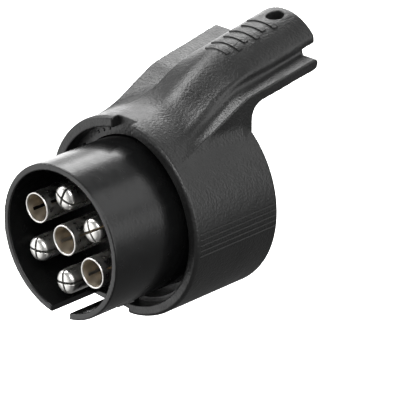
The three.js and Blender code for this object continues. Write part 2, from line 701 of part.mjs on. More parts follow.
function socketCarrier() {
  const base = turned([
    [0, discFront], [discRadius, discFront], [discRadius, discRear],
    [islandRadius, discRear], [islandRadius, islandFace - ISLAND_CHAMFER],
    [islandRadius - ISLAND_CHAMFER, islandFace], [0, islandFace],
  ]);
  const key = block(-ISLAND_KEY_WIDTH / 2, ISLAND_KEY_WIDTH / 2, discRear - GAP,
    islandFace - ISLAND_CHAMFER, -islandRadius - ISLAND_KEY_HEIGHT, OVERLAP - islandRadius);
  const cuts = [];
  sleevePlaces.forEach((place) => {
    cuts.push(rod(SLEEVE_RADIUS + GAP, discFront + SLEEVE_SEAT, islandFace + OVERLAP,
      place));
    cuts.push(rod(SLEEVE_TAIL_RADIUS + GAP, discFront - OVERLAP, islandFace, place,
      TINY_ROUND));
  });
  screwPlaces.forEach((place) => {
    cuts.push(rod(SCREW_RADIUS + GAP, discFront - OVERLAP, discRear + OVERLAP, place,
      TINY_ROUND));
    cuts.push(rod(SCREW_HEAD_RADIUS + 2 * GAP, discRear, islandFace + OVERLAP, place));
  });
  cuts.push(turned([
    [sealInner - GAP, sealFront - GAP / 2], [socketRadius, sealFront - GAP / 2],
    [socketRadius, sealFront + SEAL_THICKNESS + GAP],
    [sealInner - GAP, sealFront + SEAL_THICKNESS + GAP],
  ]));
  return cuts.reduce((solid, cut) => solid.subtract(cut), base.add(key));
}

addPiece('socket_carrier', socketCarrier(), insertPlastic());

function socketSleeve() {
  const front = islandFace - SLEEVE_SETBACK;
  const shoulder = discFront + SLEEVE_SEAT + GAP;
  const boreEnd = Math.max(front - SLEEVE_BORE_DEPTH, shoulder + SLEEVE_SEAT);
  const chamfer = (SLEEVE_RADIUS - SLEEVE_BORE_RADIUS) / 2;
  const body = turned([
    [0, sleeveTailEnd], [SLEEVE_TAIL_RADIUS, sleeveTailEnd], [SLEEVE_TAIL_RADIUS, shoulder],
    [SLEEVE_RADIUS, shoulder], [SLEEVE_RADIUS, front], [SLEEVE_BORE_RADIUS + chamfer, front],
    [SLEEVE_BORE_RADIUS, front - chamfer], [SLEEVE_BORE_RADIUS, boreEnd], [0, boreEnd],
  ], SLEEVE_ROUND);
  const half = SLEEVE_SLIT_WIDTH / 2;
  const slit = block(-SLEEVE_RADIUS - OVERLAP, SLEEVE_RADIUS + OVERLAP,
    front - SLEEVE_SLIT_LENGTH, front + OVERLAP, -half, half);
  return body.subtract(slit);
}

sleevePlaces.forEach((place, k) => {
  addPiece(`socket_sleeve_${k + 1}`, socketSleeve(), brass(), place);
});

// The face seal on the carrier's disc, round the outside of the plug's shell.
function socketSeal() {
  const rear = sealFront + SEAL_THICKNESS;
  const shoulder = sealFront + SEAL_THICKNESS * SEAL_SHOULDER_SHARE;
  return turned([
    [sealInner, sealFront], [discRadius, sealFront], [discRadius, shoulder],
    [discRadius - SEAL_WIDTH / 3, rear], [sealInner + SEAL_WIDTH / 3, rear],
    [sealInner, shoulder],
  ], HALF_ROUND);
}

addPiece('socket_seal', socketSeal(), rubber());

// ---- Screws -------------------------------------------------------------------------
function screw() {
  const seat = discRear + GAP;
  const headRear = seat + SCREW_HEAD_HEIGHT;
  const point = flangeRear - SCREW_ENGAGEMENT;
  const body = turned([
    [0, point], [SCREW_RADIUS * SCREW_POINT_SHARE, point],
    [SCREW_RADIUS, point + SCREW_RADIUS], [SCREW_RADIUS, seat],
    [SCREW_HEAD_RADIUS, seat], [SCREW_HEAD_RADIUS, headRear - SCREW_HEAD_CHAMFER],
    [SCREW_HEAD_RADIUS - SCREW_HEAD_CHAMFER, headRear], [0, headRear],
  ], SLEEVE_ROUND);
  const arm = SCREW_HEAD_RADIUS * SCREW_POINT_SHARE;
  const half = SCREW_RECESS_WIDTH / 2;
  const floor = headRear - SCREW_RECESS_DEPTH;
  const across = block(-arm, arm, floor, headRear + OVERLAP, -half, half);
  const upright = block(-half, half, floor, headRear + OVERLAP, -arm, arm);
  return body.subtract(across).subtract(upright);
}

screwPlaces.forEach((place, k) => {
  addPiece(`carrier_screw_${k + 1}`, screw(), steel(), place);
});

// ---- Links between plug contacts and socket sleeves ---------------------------------
const plugByName = Object.fromEntries(plugPlaces.map(({ name, place }) => [name, place]));

const linkRoutes = [
  { name: 'link_right', from: 'pin_contact_right', sleeve: 3 },
  { name: 'link_top', from: 'pin_contact_top', sleeve: 4 },
  { name: 'link_upper', from: 'tube_contact_upper', sleeve: 6 },
  { name: 'link_left', from: 'pin_contact_left', sleeve: 7 },
  { name: 'link_bottom', from: 'pin_contact_bottom', sleeve: 1 },
  { name: 'link_lower', from: 'tube_contact_lower', sleeve: 2 },
  { name: 'link_centre', from: 'tube_contact_centre', sleeve: 9 },
];

function wire(points) {
  const curve = new THREE.CatmullRomCurve3(points, false, 'centripetal');
  const section = new THREE.Shape();
  section.absarc(0, 0, LINK_RADIUS, 0, 2 * Math.PI, false);
  return solidOf(new THREE.ExtrudeGeometry(section, {
    steps: LINK_STEPS, extrudePath: curve, curveSegments: LINK_ROUND,
  }));
}

function linkBetween(from, to) {
  const start = contactTailEnd + GAP;
  const end = sleeveTailEnd - GAP;
  const at = (share, y) => new THREE.Vector3(mix(from.x, to.x, share), y,
    mix(from.z, to.z, share));
  return wire([
    at(0, start), at(LINK_LEAD_SHARE, mix(start, end, 0.25)), at(0.5, mix(start, end, 0.5)),
    at(1 - LINK_LEAD_SHARE, mix(start, end, 0.75)), at(1, end),
  ]);
}

linkRoutes.forEach(({ name, from, sleeve }) => {
  addPiece(name, linkBetween(plugByName[from], sleevePlaces[sleeve - 1]), copper());
});

export default adapter;
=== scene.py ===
"""A trailer wiring adapter: a seven-pole plug in front, a thirteen-pole socket behind and a
ridged pull handle on top, built round its CAD frame. Lengths in the fields are millimetres."""

import math

import bpy
import numpy as np
from mathutils import Matrix, Vector


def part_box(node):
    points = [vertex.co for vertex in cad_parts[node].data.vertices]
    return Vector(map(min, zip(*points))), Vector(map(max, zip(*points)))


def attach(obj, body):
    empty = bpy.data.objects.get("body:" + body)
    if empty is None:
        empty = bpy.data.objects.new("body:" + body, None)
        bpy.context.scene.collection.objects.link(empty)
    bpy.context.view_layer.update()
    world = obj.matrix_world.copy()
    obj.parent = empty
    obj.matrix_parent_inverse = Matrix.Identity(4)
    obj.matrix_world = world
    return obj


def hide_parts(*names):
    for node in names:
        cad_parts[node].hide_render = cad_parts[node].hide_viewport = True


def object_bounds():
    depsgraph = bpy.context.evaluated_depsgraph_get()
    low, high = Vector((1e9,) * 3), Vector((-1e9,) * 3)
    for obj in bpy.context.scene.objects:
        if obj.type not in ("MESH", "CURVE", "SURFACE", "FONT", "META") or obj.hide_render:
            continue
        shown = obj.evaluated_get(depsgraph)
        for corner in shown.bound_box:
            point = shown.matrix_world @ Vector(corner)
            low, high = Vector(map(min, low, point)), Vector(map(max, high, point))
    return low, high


bl_info = {
    "name": "Trailer wiring adapter",
    "version": (1, 0, 0),
    "blender": (4, 5, 0),
    "location": "View3D > Sidebar > Adapter",
    "description": "Builds a seven-pole to thirteen-pole trailer wiring adapter piece by piece",
    "category": "Object",
}

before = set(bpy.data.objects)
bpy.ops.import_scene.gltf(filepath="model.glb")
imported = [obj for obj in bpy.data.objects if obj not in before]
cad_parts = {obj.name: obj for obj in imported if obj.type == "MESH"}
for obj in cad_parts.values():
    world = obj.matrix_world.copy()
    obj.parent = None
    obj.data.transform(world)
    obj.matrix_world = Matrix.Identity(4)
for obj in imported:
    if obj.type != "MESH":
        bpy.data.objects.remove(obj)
CAD_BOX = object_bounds()

MM = 0.001
BODY = "root"


def frame_box(node):
    """The lowest and highest corners of a CAD node, in millimetres."""
    low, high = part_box(node)
    return low / MM, high / MM


def axis_of(node):
    """The place of a CAD node's long axis in X and Z, in millimetres."""
    low, high = frame_box(node)
    return (low.x + high.x) / 2, (low.z + high.z) / 2


HOUSING_LOW, HOUSING_HIGH = frame_box("housing")
PLUG_LOW, PLUG_HIGH = frame_box("plug_body")
CARRIER_LOW, CARRIER_HIGH = frame_box("socket_carrier")
SLEEVE_LOW, SLEEVE_HIGH = frame_box("socket_sleeve_1")
PIN_LOW, PIN_HIGH = frame_box("pin_contact_top")
TUBE_LOW, TUBE_HIGH = frame_box("tube_contact_centre")
SCREW_LOW, SCREW_HIGH = frame_box("carrier_screw_1")
SEAL_LOW, SEAL_HIGH = frame_box("socket_seal")

# Turns of the cross slots in the split pins, in degrees about the plug axis.
PIN_TURNS = {"top": -20, "right": 30, "left": 3, "bottom": 10}
SLEEVE_COUNT = 13
SCREW_COUNT = 3


# ---- Sizes and colours that a user may change ----------------------------------------------


def length(name, millimetres, about):
    """A length given in millimetres and kept in metres."""
    return bpy.props.FloatProperty(
        name=name, description=about, default=millimetres * MM, min=0.0,
        unit="LENGTH", subtype="DISTANCE", precision=5,
    )


def share(name, value, about):
    """A level from none to all."""
    return bpy.props.FloatProperty(
        name=name, description=about, default=value, min=0.0, max=1.0, subtype="FACTOR")


def colour(name, value, about):
    """A colour as shares of red, green and blue light."""
    return bpy.props.FloatVectorProperty(
        name=name, description=about, default=value, min=0.0, max=1.0, size=3, subtype="COLOR")


class AdapterHousing(bpy.types.PropertyGroup):
    """Sizes of the housing: collar, round body and handle."""

    body_radius: length("Body radius", -HOUSING_LOW.z, "Outer radius of the round body")
    body_length: length("Body length", 27.0, "Collar face to rear rim")
    edge_round: length("Edge rounding", 0.9, "Rounding of the body's outer edges")
    collar_radius: length("Collar bore", 21.7, "Bore radius of the collar's rim")
    step_radius: length("Step bore", 20.6, "Bore radius behind the collar's inner step")
    step_depth: length("Step depth", 3.65, "Collar face to the inner step and the ledge")
    recess_depth: length("Recess depth", 8.0, "Collar face to the recess floor")
    barrel_hole: length("Barrel hole", 19.0, "Radius of the hole that takes the barrel")
    socket_depth: length("Socket depth", 9.8, "Collar face to the floor of the socket")
    socket_radius: length("Socket bore", 21.1, "Bore radius of the socket")
    wing_thickness: length("Wing thickness", 2.6, "Thickness of the handle's wings")
    wing_front_half: length("Wing half width, front", 15.2, "Half width at the wings' tips")
    wing_rear_half: length("Wing half width, rear", 16.4, "Half width at the wings' ends")
    wing_end: length("Wing end", 48.4, "Collar face to the wings' rear edge")
    wing_nose: length("Wing edge rounding", 1.5, "Rounding of the wings' rear edge")
    neck_round: length("Neck rounding", 3.3, "Inner rounding behind the neck")
    ridge_offset: length("Ridge offset", 2.0, "Ridge centre to the side of the plug axis")
    ridge_half: length("Ridge half width", 9.4, "Half the width of the ridge")
    ridge_arch: length("Ridge arch", 12.2, "Radius of the ridge's arched top")
    crest_radius: length("Crest radius", 6.6, "Radius of the ridge's crest at its foot")
    ledge_angle: bpy.props.FloatProperty(
        name="Ledge angle", description="Half the angle that the collar's ledge spans",
        default=math.radians(51), subtype="ANGLE")
    ridge_wall: length("Ridge wall", 2.4, "Wall of the hollow ridge")
    overhang_lift: length("Overhang lift", 0.75, "Ridge sides above the wings, behind them")
    pocket_front: length("Pocket front", 16.0, "Collar face to the front of the neck's pocket")
    hole_radius: length("Tether hole radius", 2.15, "Radius of the hole in the ridge")
    hole_from_end: length("Tether hole place", 3.7, "Hole centre to the ridge's end")
    valley_front: length("Front valley", 2.6, "Reach of the blend at the ridge's foot")
    valley_rear: length("Rear valley", 0.8, "Reach of the blend along the wings")
    mesh_step: length("Mesh step", 0.42, "Spacing of the housing's surface mesh")


class AdapterPlug(bpy.types.PropertyGroup):
    """Sizes of the plug end."""

    barrel_radius: length("Barrel radius", 18.7, "Outer radius of the barrel")
    barrel_wall: length("Barrel wall", 1.6, "Wall of the barrel")
    barrel_edge: length("Barrel edge", 0.35, "Rounding of the barrel's rim")
    keyway_width: length("Keyway width", 6.0, "Width of the slot under the barrel")
    keyway_length: length("Keyway length", 13.7, "Length of the slot under the barrel")
    web_depth: length("Web depth", 16.4, "Barrel rim to the contact web")
    web_thickness: length("Web thickness", 5.0, "Thickness of the contact web")
    flange_thickness: length("Flange thickness", 1.8, "Thickness of the rear flange")
    tube_radius: length("Tube radius", 3.7, "Outer radius of the tube contacts")
    tube_bore: length("Tube bore", 3.25, "Bore radius of the tube contacts")
    tube_depth: length("Tube depth", 14.0, "Depth of the bore of the tube contacts")
    pin_radius: length("Pin radius", 2.95, "Radius of the split pin contacts")
    pin_tip: length("Pin tip edge", 0.9, "Reach of the rounding round the split pins' tips")
    pin_dome: length("Pin dome", 7.0, "Radius of the split pins' domed tips")
    pin_slot: length("Pin slot", 0.55, "Width of the cross slots in the pins")
    pin_slot_depth: length("Pin slot depth", 9.0, "Length of the cross slots in the pins")
    clearance: length("Clearance", 0.3, "Gap round every contact and screw")
    mesh_step: length("Mesh step", 0.4, "Spacing of the plug body's surface mesh")
    fine_step: length("Fine mesh step", 0.15, "Spacing of the contacts' surface mesh")


class AdapterSocket(bpy.types.PropertyGroup):
    """Sizes of the socket end."""

    island_radius: length("Island radius", 14.6, "Radius of the contact island")
    island_chamfer: length("Island edge", 0.8, "Rounding of the island's edge")
    disc_thickness: length("Disc thickness", 1.8, "Thickness of the carrier's disc")
    key_width: length("Key width", 4.0, "Width of the island's key")
    key_height: length("Key height", 1.6, "Height of the island's key")
    sleeve_radius: length("Sleeve radius", 1.75, "Outer radius of the socket sleeves")
    sleeve_bore: length("Sleeve bore", 1.25, "Bore radius of the socket sleeves")
    slot_width: length("Locking slot width", 6.0, "Width of the locking slots in the wall")
    slot_depth: length("Locking slot depth", 1.3, "Depth of the locking slots in the wall")
    slot_length: length("Locking slot length", 7.0, "Length of the locking slots")
    turn_length: length("Locking turn", 2.8, "Width of the sideways part of the slots")
    mesh_step: length("Mesh step", 0.4, "Spacing of the carrier's surface mesh")


class AdapterFinishes(bpy.types.PropertyGroup):
    """Colours and gloss of the materials."""

    housing: colour("Housing", (0.012, 0.0122, 0.0120), "Grained black housing plastic")
    barrel: colour("Barrel", (0.006, 0.0062, 0.0063), "Smoother black barrel plastic")
    insert: colour("Insert", (0.006, 0.006, 0.0065), "Dull black insert plastic")
    nickel: colour("Nickel", (0.86, 0.85, 0.82), "Bright plated contacts")
    brass: colour("Brass", (0.78, 0.71, 0.60), "Bores and sleeves")
    rubber: colour("Rubber", (0.014, 0.014, 0.014), "Sealing rings")
    steel: colour("Steel", (0.60, 0.60, 0.62), "Plated screws")
    copper: colour("Copper", (0.68, 0.36, 0.22), "Link wires")
    housing_gloss: share("Housing roughness", 0.33, "Roughness of the housing")
    barrel_gloss: share("Barrel roughness", 0.22, "Roughness of the barrel")
    grain_height: length("Grain height", 0.11, "Height of the housing's moulded grain")
    grain_size: length("Grain size", 0.6, "Width of the housing's moulded grain")


class AdapterStudio(bpy.types.PropertyGroup):
    """Camera, lights and surroundings."""

    azimuth: bpy.props.FloatProperty(
        name="Azimuth", description="Camera direction round the vertical",
        default=math.radians(44.5), subtype="ANGLE")
    elevation: bpy.props.FloatProperty(
        name="Elevation", description="Camera height above the horizontal",
        default=math.radians(24.0), subtype="ANGLE")
    roll: bpy.props.FloatProperty(
        name="Roll", description="Camera tilt about its own line of sight",
        default=math.radians(0.2), subtype="ANGLE")
    distance: length("Distance", 700.0, "Camera to the point it looks at")
    lens: bpy.props.FloatProperty(
        name="Lens", description="Focal length in millimetres", default=274.9, min=1.0)
    target: bpy.props.FloatVectorProperty(
        name="Target", description="The point that the camera looks at",
        default=(0.01583, 0.00963, 0.00629), size=3, unit="LENGTH", subtype="TRANSLATION")
    sky: bpy.props.FloatProperty(
        name="Sky", description="Brightness of the surroundings above", default=0.40)
    ground: bpy.props.FloatProperty(
        name="Ground", description="Brightness of the surroundings below", default=0.16)
    panels: bpy.props.FloatProperty(
        name="Panels", description="Brightness of the soft light panels", default=1.0)


GROUPS = {
    "housing": AdapterHousing,
    "plug": AdapterPlug,
    "socket": AdapterSocket,
    "finishes": AdapterFinishes,
    "studio": AdapterStudio,
}


class Millimetres:
    """Reads the lengths of a property group in millimetres."""

    def __init__(self, group):
        self._group = settings(group)

    def __getattr__(self, name):
        return getattr(self._group, name) / MM


def settings(group):
    """One of the adapter's property groups in the scene."""
    return getattr(bpy.context.scene, "adapter_" + group)


# ---- Shapes as fields: negative inside, positive outside -----------------------------------

# Grid steps left before a piece: not a whole number, so its lowest faces stay off the grid.
GRID_MARGIN = 2.37
# How strongly a corner is held at the middle of the places where the surface cuts its cell.
CORNER_HOLD = 0.03
# How far inside each face its corners are shaded from, as a share of the way to its middle.
SHADE_INSET = 0.35


def smooth_min(a, b, reach):
    """The nearer of two surfaces, with a rounded valley where they meet."""
    return np.minimum(a, b) - np.maximum(reach - np.abs(a - b), 0) ** 2 / (4 * reach)


def smooth_max(a, b, reach):
    """What two shapes share, with a rounded edge where they meet."""
    return -smooth_min(-a, -b, reach)


def most(*fields):
    """What all the shapes share, with sharp edges."""
    result = fields[0]
    for one in fields[1:]:
        result = np.maximum(result, one)
    return result


def least(*fields):
    """All the shapes together, with sharp valleys."""
    return -most(*[-one for one in fields])


def rounded(a, b, radius):
    """What two shapes share, with an exactly round edge of this radius."""
    a, b = a + radius, b + radius
    outside = np.sqrt(np.maximum(a, 0) ** 2 + np.maximum(b, 0) ** 2)
    return np.minimum(np.maximum(a, b), 0) + outside - radius


def between(value, low, high):
    """A slab between two levels."""
    return np.abs(value - (low + high) / 2) - (high - low) / 2


def from_axis(x, z, place=(0.0, 0.0)):
    """Distance in a plane from a place in it, such as a bore's middle."""
    return np.sqrt((x - place[0]) ** 2 + (z - place[1]) ** 2)


def slopes(field, points, reach=0.02):
    """Unit outward directions of a field at points."""
    found = np.empty_like(points)
    for axis in range(3):
        step = np.zeros(3)
        step[axis] = reach
        ahead, behind = points + step, points - step
        found[:, axis] = field(*ahead.T) - field(*behind.T)
    size = np.linalg.norm(found, axis=1, keepdims=True)
    return found / np.maximum(size, 1e-9)


def crossings(field, start, axis, step, near, far):
    """Where the surface cuts grid edges that start at points and run along an axis."""
    low, high = np.zeros(len(start)), np.ones(len(start))
    place = start.copy()
    for _ in range(4):
        part = np.clip(near / (near - far), 0.05, 0.95)
        middle = low + (high - low) * part
        place[:, axis] = start[:, axis] + middle * step
        value = field(*place.T)
        before = (value < 0) == (near < 0)
        low, near = np.where(before, middle, low), np.where(before, value, near)
        high, far = np.where(before, high, middle), np.where(before, far, value)
    place[:, axis] = start[:, axis] + (low + (high - low) * near / (near - far)) * step
    return place


def contour(field, low, high, step):
    """Corners and four-sided faces of the closed surface where a field is zero.

    Each grid cell that the surface crosses gets one corner. It is placed by the slopes where
    the surface cuts the cell's edges, so rounded edges stay smooth and sharp ones stay sharp.
    """
    origin = np.array(low, float) - GRID_MARGIN * step
    counts = np.ceil((np.array(high, float) - origin) / step).astype(int) + 3
    axes = [origin[k] + step * np.arange(counts[k]) for k in range(3)]
    grid = field(axes[0][:, None, None], axes[1][None, :, None], axes[2][None, None, :])
    grid = np.broadcast_to(grid, counts)
    inside = grid < 0
    stride = np.array([counts[1] * counts[2], counts[2], 1])
    cells, places, normals, quads = [], [], [], []
    for axis in range(3):
        near, far = [slice(None)] * 3, [slice(None)] * 3
        near[axis], far[axis] = slice(0, -1), slice(1, None)
        near, far = tuple(near), tuple(far)
        crossed = inside[near] != inside[far]
        index = np.argwhere(crossed)
        start = origin + index * step
        place = crossings(field, start, axis, step, grid[near][crossed], grid[far][crossed])
        flat = index @ stride
        u, v = stride[(axis + 1) % 3], stride[(axis + 2) % 3]
        ring = np.stack([flat - u - v, flat - v, flat, flat - u], axis=1)
        outward = inside[near][crossed]
        quads.append(np.where(outward[:, None], ring, ring[:, ::-1]))
        cells.append(ring.ravel())
        places.append(np.repeat(place, 4, axis=0))
        normals.append(np.repeat(slopes(field, place), 4, axis=0))
    cells, places, normals = map(np.concatenate, (cells, places, normals))
    quads = np.concatenate(quads)
    keys, member = np.unique(cells, return_inverse=True)
    total = len(keys)

    def gathered(values):
        return np.bincount(member, values, total)

    number = gathered(np.ones(len(cells)))
    middle = np.stack([gathered(places[:, k]) for k in range(3)], axis=1) / number[:, None]
    reach = np.einsum("ij,ij->i", normals, places - middle[member])
    matrix = np.empty((total, 3, 3))
    for i in range(3):
        for j in range(3):
            matrix[:, i, j] = gathered(normals[:, i] * normals[:, j])
    matrix += np.eye(3) * (CORNER_HOLD * number)[:, None, None]
    aim = np.stack([gathered(normals[:, k] * reach) for k in range(3)], axis=1)
    corners = middle + np.linalg.solve(matrix, aim[:, :, None])[:, :, 0]
    index = np.stack(np.unravel_index(keys, counts), axis=1)
    floor = origin + index * step
    corners = np.clip(corners, floor, floor + step)
    return corners, np.searchsorted(keys, quads)


def surface_mesh(name, field, low, high, step):
    """A mesh of a field's surface, in metres, that is shaded by the field's own slopes."""
    corners, quads = contour(field, low, high, step)
    mesh = bpy.data.meshes.new(name)
    mesh.from_pydata((corners * MM).tolist(), [], quads.tolist())
    mesh.shade_smooth()
    own = corners[quads]
    centre = own.mean(axis=1, keepdims=True)
    near = (own + SHADE_INSET * (centre - own)).reshape(-1, 3)
    mesh.normals_split_custom_set(slopes(field, near))
    return mesh


# ---- Materials ------------------------------------------------------------------------------

METAL_ROUGHNESS = {"nickel": 0.3, "brass": 0.45, "steel": 0.32, "copper": 0.3}


class Finish:
    """Builds one node material."""

    def __init__(self, name):
        self.material = bpy.data.materials.new(name)
        self.material.use_nodes = True
        self.tree = self.material.node_tree
        self.shader = self.tree.nodes["Principled BSDF"]
        self.place = self.node("ShaderNodeTexCoord").outputs["Object"]

    def node(self, kind, **values):
        made = self.tree.nodes.new(kind)
        for name, value in values.items():
            setattr(made, name, value)
        return made

    def link(self, source, target):
        self.tree.links.new(source, target)

    def speckle(self, size, detail=2.0, stretch=(1.0, 1.0, 1.0)):
        """Noise whose features are about this wide, in millimetres."""
        mapping = self.node("ShaderNodeMapping")
        mapping.inputs["Scale"].default_value = stretch
        self.link(self.place, mapping.inputs["Vector"])
        noise = self.node("ShaderNodeTexNoise")
        noise.inputs["Scale"].default_value = 1 / (size * MM)
        noise.inputs["Detail"].default_value = detail
        self.link(mapping.outputs["Vector"], noise.inputs["Vector"])
        return noise.outputs["Fac"]

    def mapped(self, source, low, high):
        """A noise value spread between two levels."""
        spread = self.node("ShaderNodeMapRange")
        for name, value in (("From Min", 0.3), ("From Max", 0.7), ("To Min", low),
                            ("To Max", high)):
            spread.inputs[name].default_value = value
        self.link(source, spread.inputs["Value"])
        return spread.outputs["Result"]

    def tint(self, source, tone, change):
        """Colours the surface between a darker and a lighter tone."""
        mix = self.node("ShaderNodeMix", data_type="RGBA")
        darker, lighter = [Vector(tone) * (1 + side * change) for side in (-1, 1)]
        mix.inputs[6].default_value = (*darker, 1)
        mix.inputs[7].default_value = (*lighter, 1)
        self.link(self.mapped(source, 0.0, 1.0), mix.inputs[0])
        self.link(mix.outputs[2], self.shader.inputs["Base Color"])

    def relief(self, *layers):
        """Bumps laid on each other, as pairs of a noise and a height in millimetres."""
        below = None
        for source, height in layers:
            bump = self.node("ShaderNodeBump")
            bump.inputs["Strength"].default_value = 1.0
            bump.inputs["Distance"].default_value = height * MM
            self.link(source, bump.inputs["Height"])
            if below is not None:
                self.link(below, bump.inputs["Normal"])
            below = bump.outputs["Normal"]
        self.link(below, self.shader.inputs["Normal"])

    def steady(self, **values):
        for name, value in values.items():
            self.shader.inputs[name.replace("_", " ")].default_value = value


def moulded(name, tone, roughness, grain_size, grain_height, specular=0.5):
    """A moulded plastic with a fine eroded grain and faint flow marks."""
    finish = Finish(name)
    finish.steady(IOR=1.5, Specular_IOR_Level=specular, Metallic=0.0)
    cloud = finish.speckle(9.0, detail=3.0)
    grain = finish.speckle(grain_size, detail=1.5)
    scuff = finish.speckle(2.4, detail=4.0)
    finish.tint(cloud, tone, 0.18)
    uneven = finish.mapped(scuff, roughness - 0.05, roughness + 0.06)
    finish.link(uneven, finish.shader.inputs["Roughness"])
    finish.relief((grain, grain_height), (scuff, grain_height * 0.5))
    return finish.material


def turned_metal(name, tone, roughness):
    """A plated or bare turned metal with fine rings left by the tool."""
    finish = Finish(name)
    finish.steady(Metallic=1.0)
    rings = finish.speckle(1.0, detail=1.0, stretch=(0.25, 12.0, 0.25))
    stain = finish.speckle(2.2, detail=3.0)
    finish.tint(stain, tone, 0.07)
    uneven = finish.mapped(stain, roughness * 0.75, roughness * 1.3)
    finish.link(uneven, finish.shader.inputs["Roughness"])
    finish.relief((rings, 0.004), (stain, 0.006))
    return finish.material


def rubbery(name, tone):
    """Matt rubber with a soft bloom."""
    finish = Finish(name)
    finish.steady(IOR=1.5, Specular_IOR_Level=0.35, Metallic=0.0, Sheen_Weight=0.15)
    bloom = finish.speckle(3.0, detail=4.0)
    finish.tint(bloom, tone, 0.3)
    finish.link(finish.mapped(bloom, 0.62, 0.8), finish.shader.inputs["Roughness"])
    finish.relief((finish.speckle(0.5), 0.012))
    return finish.material


def finish_for(slot):
    """The material of one of the record's slots, made when it is first needed."""
    name = slot + "_finish"
    made = bpy.data.materials.get(name)
    if made:
        return made
    tones = settings("finishes")
    sizes = Millimetres("finishes")
    if slot == "housing_plastic":
        return moulded(name, tones.housing, tones.housing_gloss, sizes.grain_size,
                       sizes.grain_height)
    if slot == "barrel_plastic":
        return moulded(name, tones.barrel, tones.barrel_gloss, 0.6, 0.02)
    if slot == "insert_plastic":
        return moulded(name, tones.insert, 0.45, 0.4, 0.06, specular=0.4)
    if slot == "rubber":
        return rubbery(name, tones.rubber)
    return turned_metal(name, getattr(tones, slot), METAL_ROUGHNESS[slot])


# ---- Pieces ---------------------------------------------------------------------------------


def add_piece(name, mesh, slot, stands_for=(), place=None):
    """Puts a mesh in the scene as a piece that rides on the adapter's body."""
    piece = bpy.data.objects.new(name, mesh)
    bpy.context.scene.collection.objects.link(piece)
    if not mesh.materials:
        mesh.materials.append(finish_for(slot))
    if place is not None:
        piece.matrix_world = place
    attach(piece, BODY)
    if stands_for:
        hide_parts(*stands_for)
    return piece


def refinish(node, slot):
    """Gives a CAD node the material of its slot."""
    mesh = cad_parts[node].data
    mesh.materials.clear()
    mesh.materials.append(finish_for(slot))


def along_plug(node, turn=0.0):
    """Where a contact's own mesh goes: on its node's axis, turned about it by degrees."""
    x, z = axis_of(node)
    turned = Matrix.Rotation(math.radians(-turn), 4, "Y")
    return Matrix.Translation((x * MM, 0, z * MM)) @ turned


# ---- Housing: its smaller sizes and its shape ------------------------------------------------

# Handle lines: (y, z) of front, bend and rear, and the reach of the bend.
WING_LINE = ((10.75, 19.7), (25.15, 26.85), (48.4, 30.7), 2.2)
RIDGE_LINE = ((11.6, 24.3), (25.15, 33.3), (HOUSING_HIGH.y, HOUSING_HIGH.z), 6.0)

# What changes along the handle: y where the change starts and ends, and the two values.
CREST_FALL = (12, 26, 2.4, 4.3)
CREST_TO_ARCH = (24, 37, 0.0, 1.0)
RIDGE_EDGE = (18, 34, 1.4, 0.5)
NECK_JOINT = (23.5, 26.6, 2.2, 0.02)
VALLEY_SPAN = (15, 40)

# How far the wings run on into the body, forwards and down, and the ridge's lowest height.
WING_ROOT_REACH = 7
WING_ROOT_DEPTH = 6
RIDGE_ROOT = 17
# Edges of the moulding, the skin over the neck's pocket and the rounding inside the ridge.
MOULDED_EDGE = 0.35
HANDLE_EDGE = 0.4
POCKET_SKIN = 0.3
CHANNEL_DROP = 1
HOLLOW_ROUND = 0.8

# Notches in the collar's floor round the barrel, above and below, and the gap below.
TOP_NOTCH_HALF, TOP_NOTCH_DEPTH = 3.1, 2.0
LOW_NOTCH_HALF, LOW_NOTCH_DEPTH = 1.9, 2.1
LOW_GAP_TOP = -18
LOCKING_TURN = math.radians(32)


def bent_line(line, y):
    """Height at y of two straight runs with a smooth bend, and the slope's cosine."""
    (y0, z0), (y1, z1), (y2, z2), reach = line
    first, second = (z1 - z0) / (y1 - y0), (z2 - z1) / (y2 - y1)
    past = y - y1
    turn = np.clip(past + reach, 0, 2 * reach)
    extra = np.maximum(past - reach, 0)
    height = z1 + first * past + (second - first) * (turn ** 2 / (4 * reach) + extra)
    slope = first + (second - first) * turn / (2 * reach)
    return height, 1 / np.sqrt(1 + slope ** 2)


def ramp(value, start, end, low, high):
    """A level that runs from low to high while a value goes from start to end."""
    return low + (high - low) * np.clip((value - start) / (end - start), 0, 1)


def ridge_field(h, x, y, z, inset=0.0):
    """The arched ridge without its ends, or its hollow at an inset."""
    crest, cosine = bent_line(RIDGE_LINE, y)
    across = x - h.ridge_offset
    arch = (np.sqrt(across ** 2 + (z - crest + h.ridge_arch) ** 2) - h.ridge_arch) * cosine
    arch = np.where(z < crest - h.ridge_arch, np.abs(across) - h.ridge_arch, arch)
    fall = ramp(y, *CREST_FALL)
    spread = 2 * h.crest_radius * fall
    bell = fall * np.exp(-across ** 2 / spread)
    steep = 2 * across * bell / spread
    hump = (z - crest + fall - bell) / np.sqrt(1 / cosine ** 2 + steep ** 2)
    top = hump + (arch - hump) * ramp(y, *CREST_TO_ARCH)
    side = np.abs(across) - h.ridge_half
    return smooth_max(top, side, ramp(y, *RIDGE_EDGE)) + inset


def wing_field(h, x, y, z):
    """The wings and the neck under them, down into the round body."""
    top, cosine = bent_line(WING_LINE, y)
    over = (z - top) * cosine
    under = smooth_min((top - h.wing_thickness - z) * cosine, y - h.body_length,
                       h.neck_round / 0.85)
    half = ramp(y, WING_LINE[0][0], h.wing_end, h.wing_front_half, h.wing_rear_half)
    plate = smooth_max(np.maximum(over, under), y - h.wing_end, h.wing_nose)
    block = smooth_max(plate, np.abs(x) - half, HANDLE_EDGE)
    return most(block, WING_LINE[0][0] - WING_ROOT_REACH - y,
                h.socket_radius - WING_ROOT_DEPTH - z)


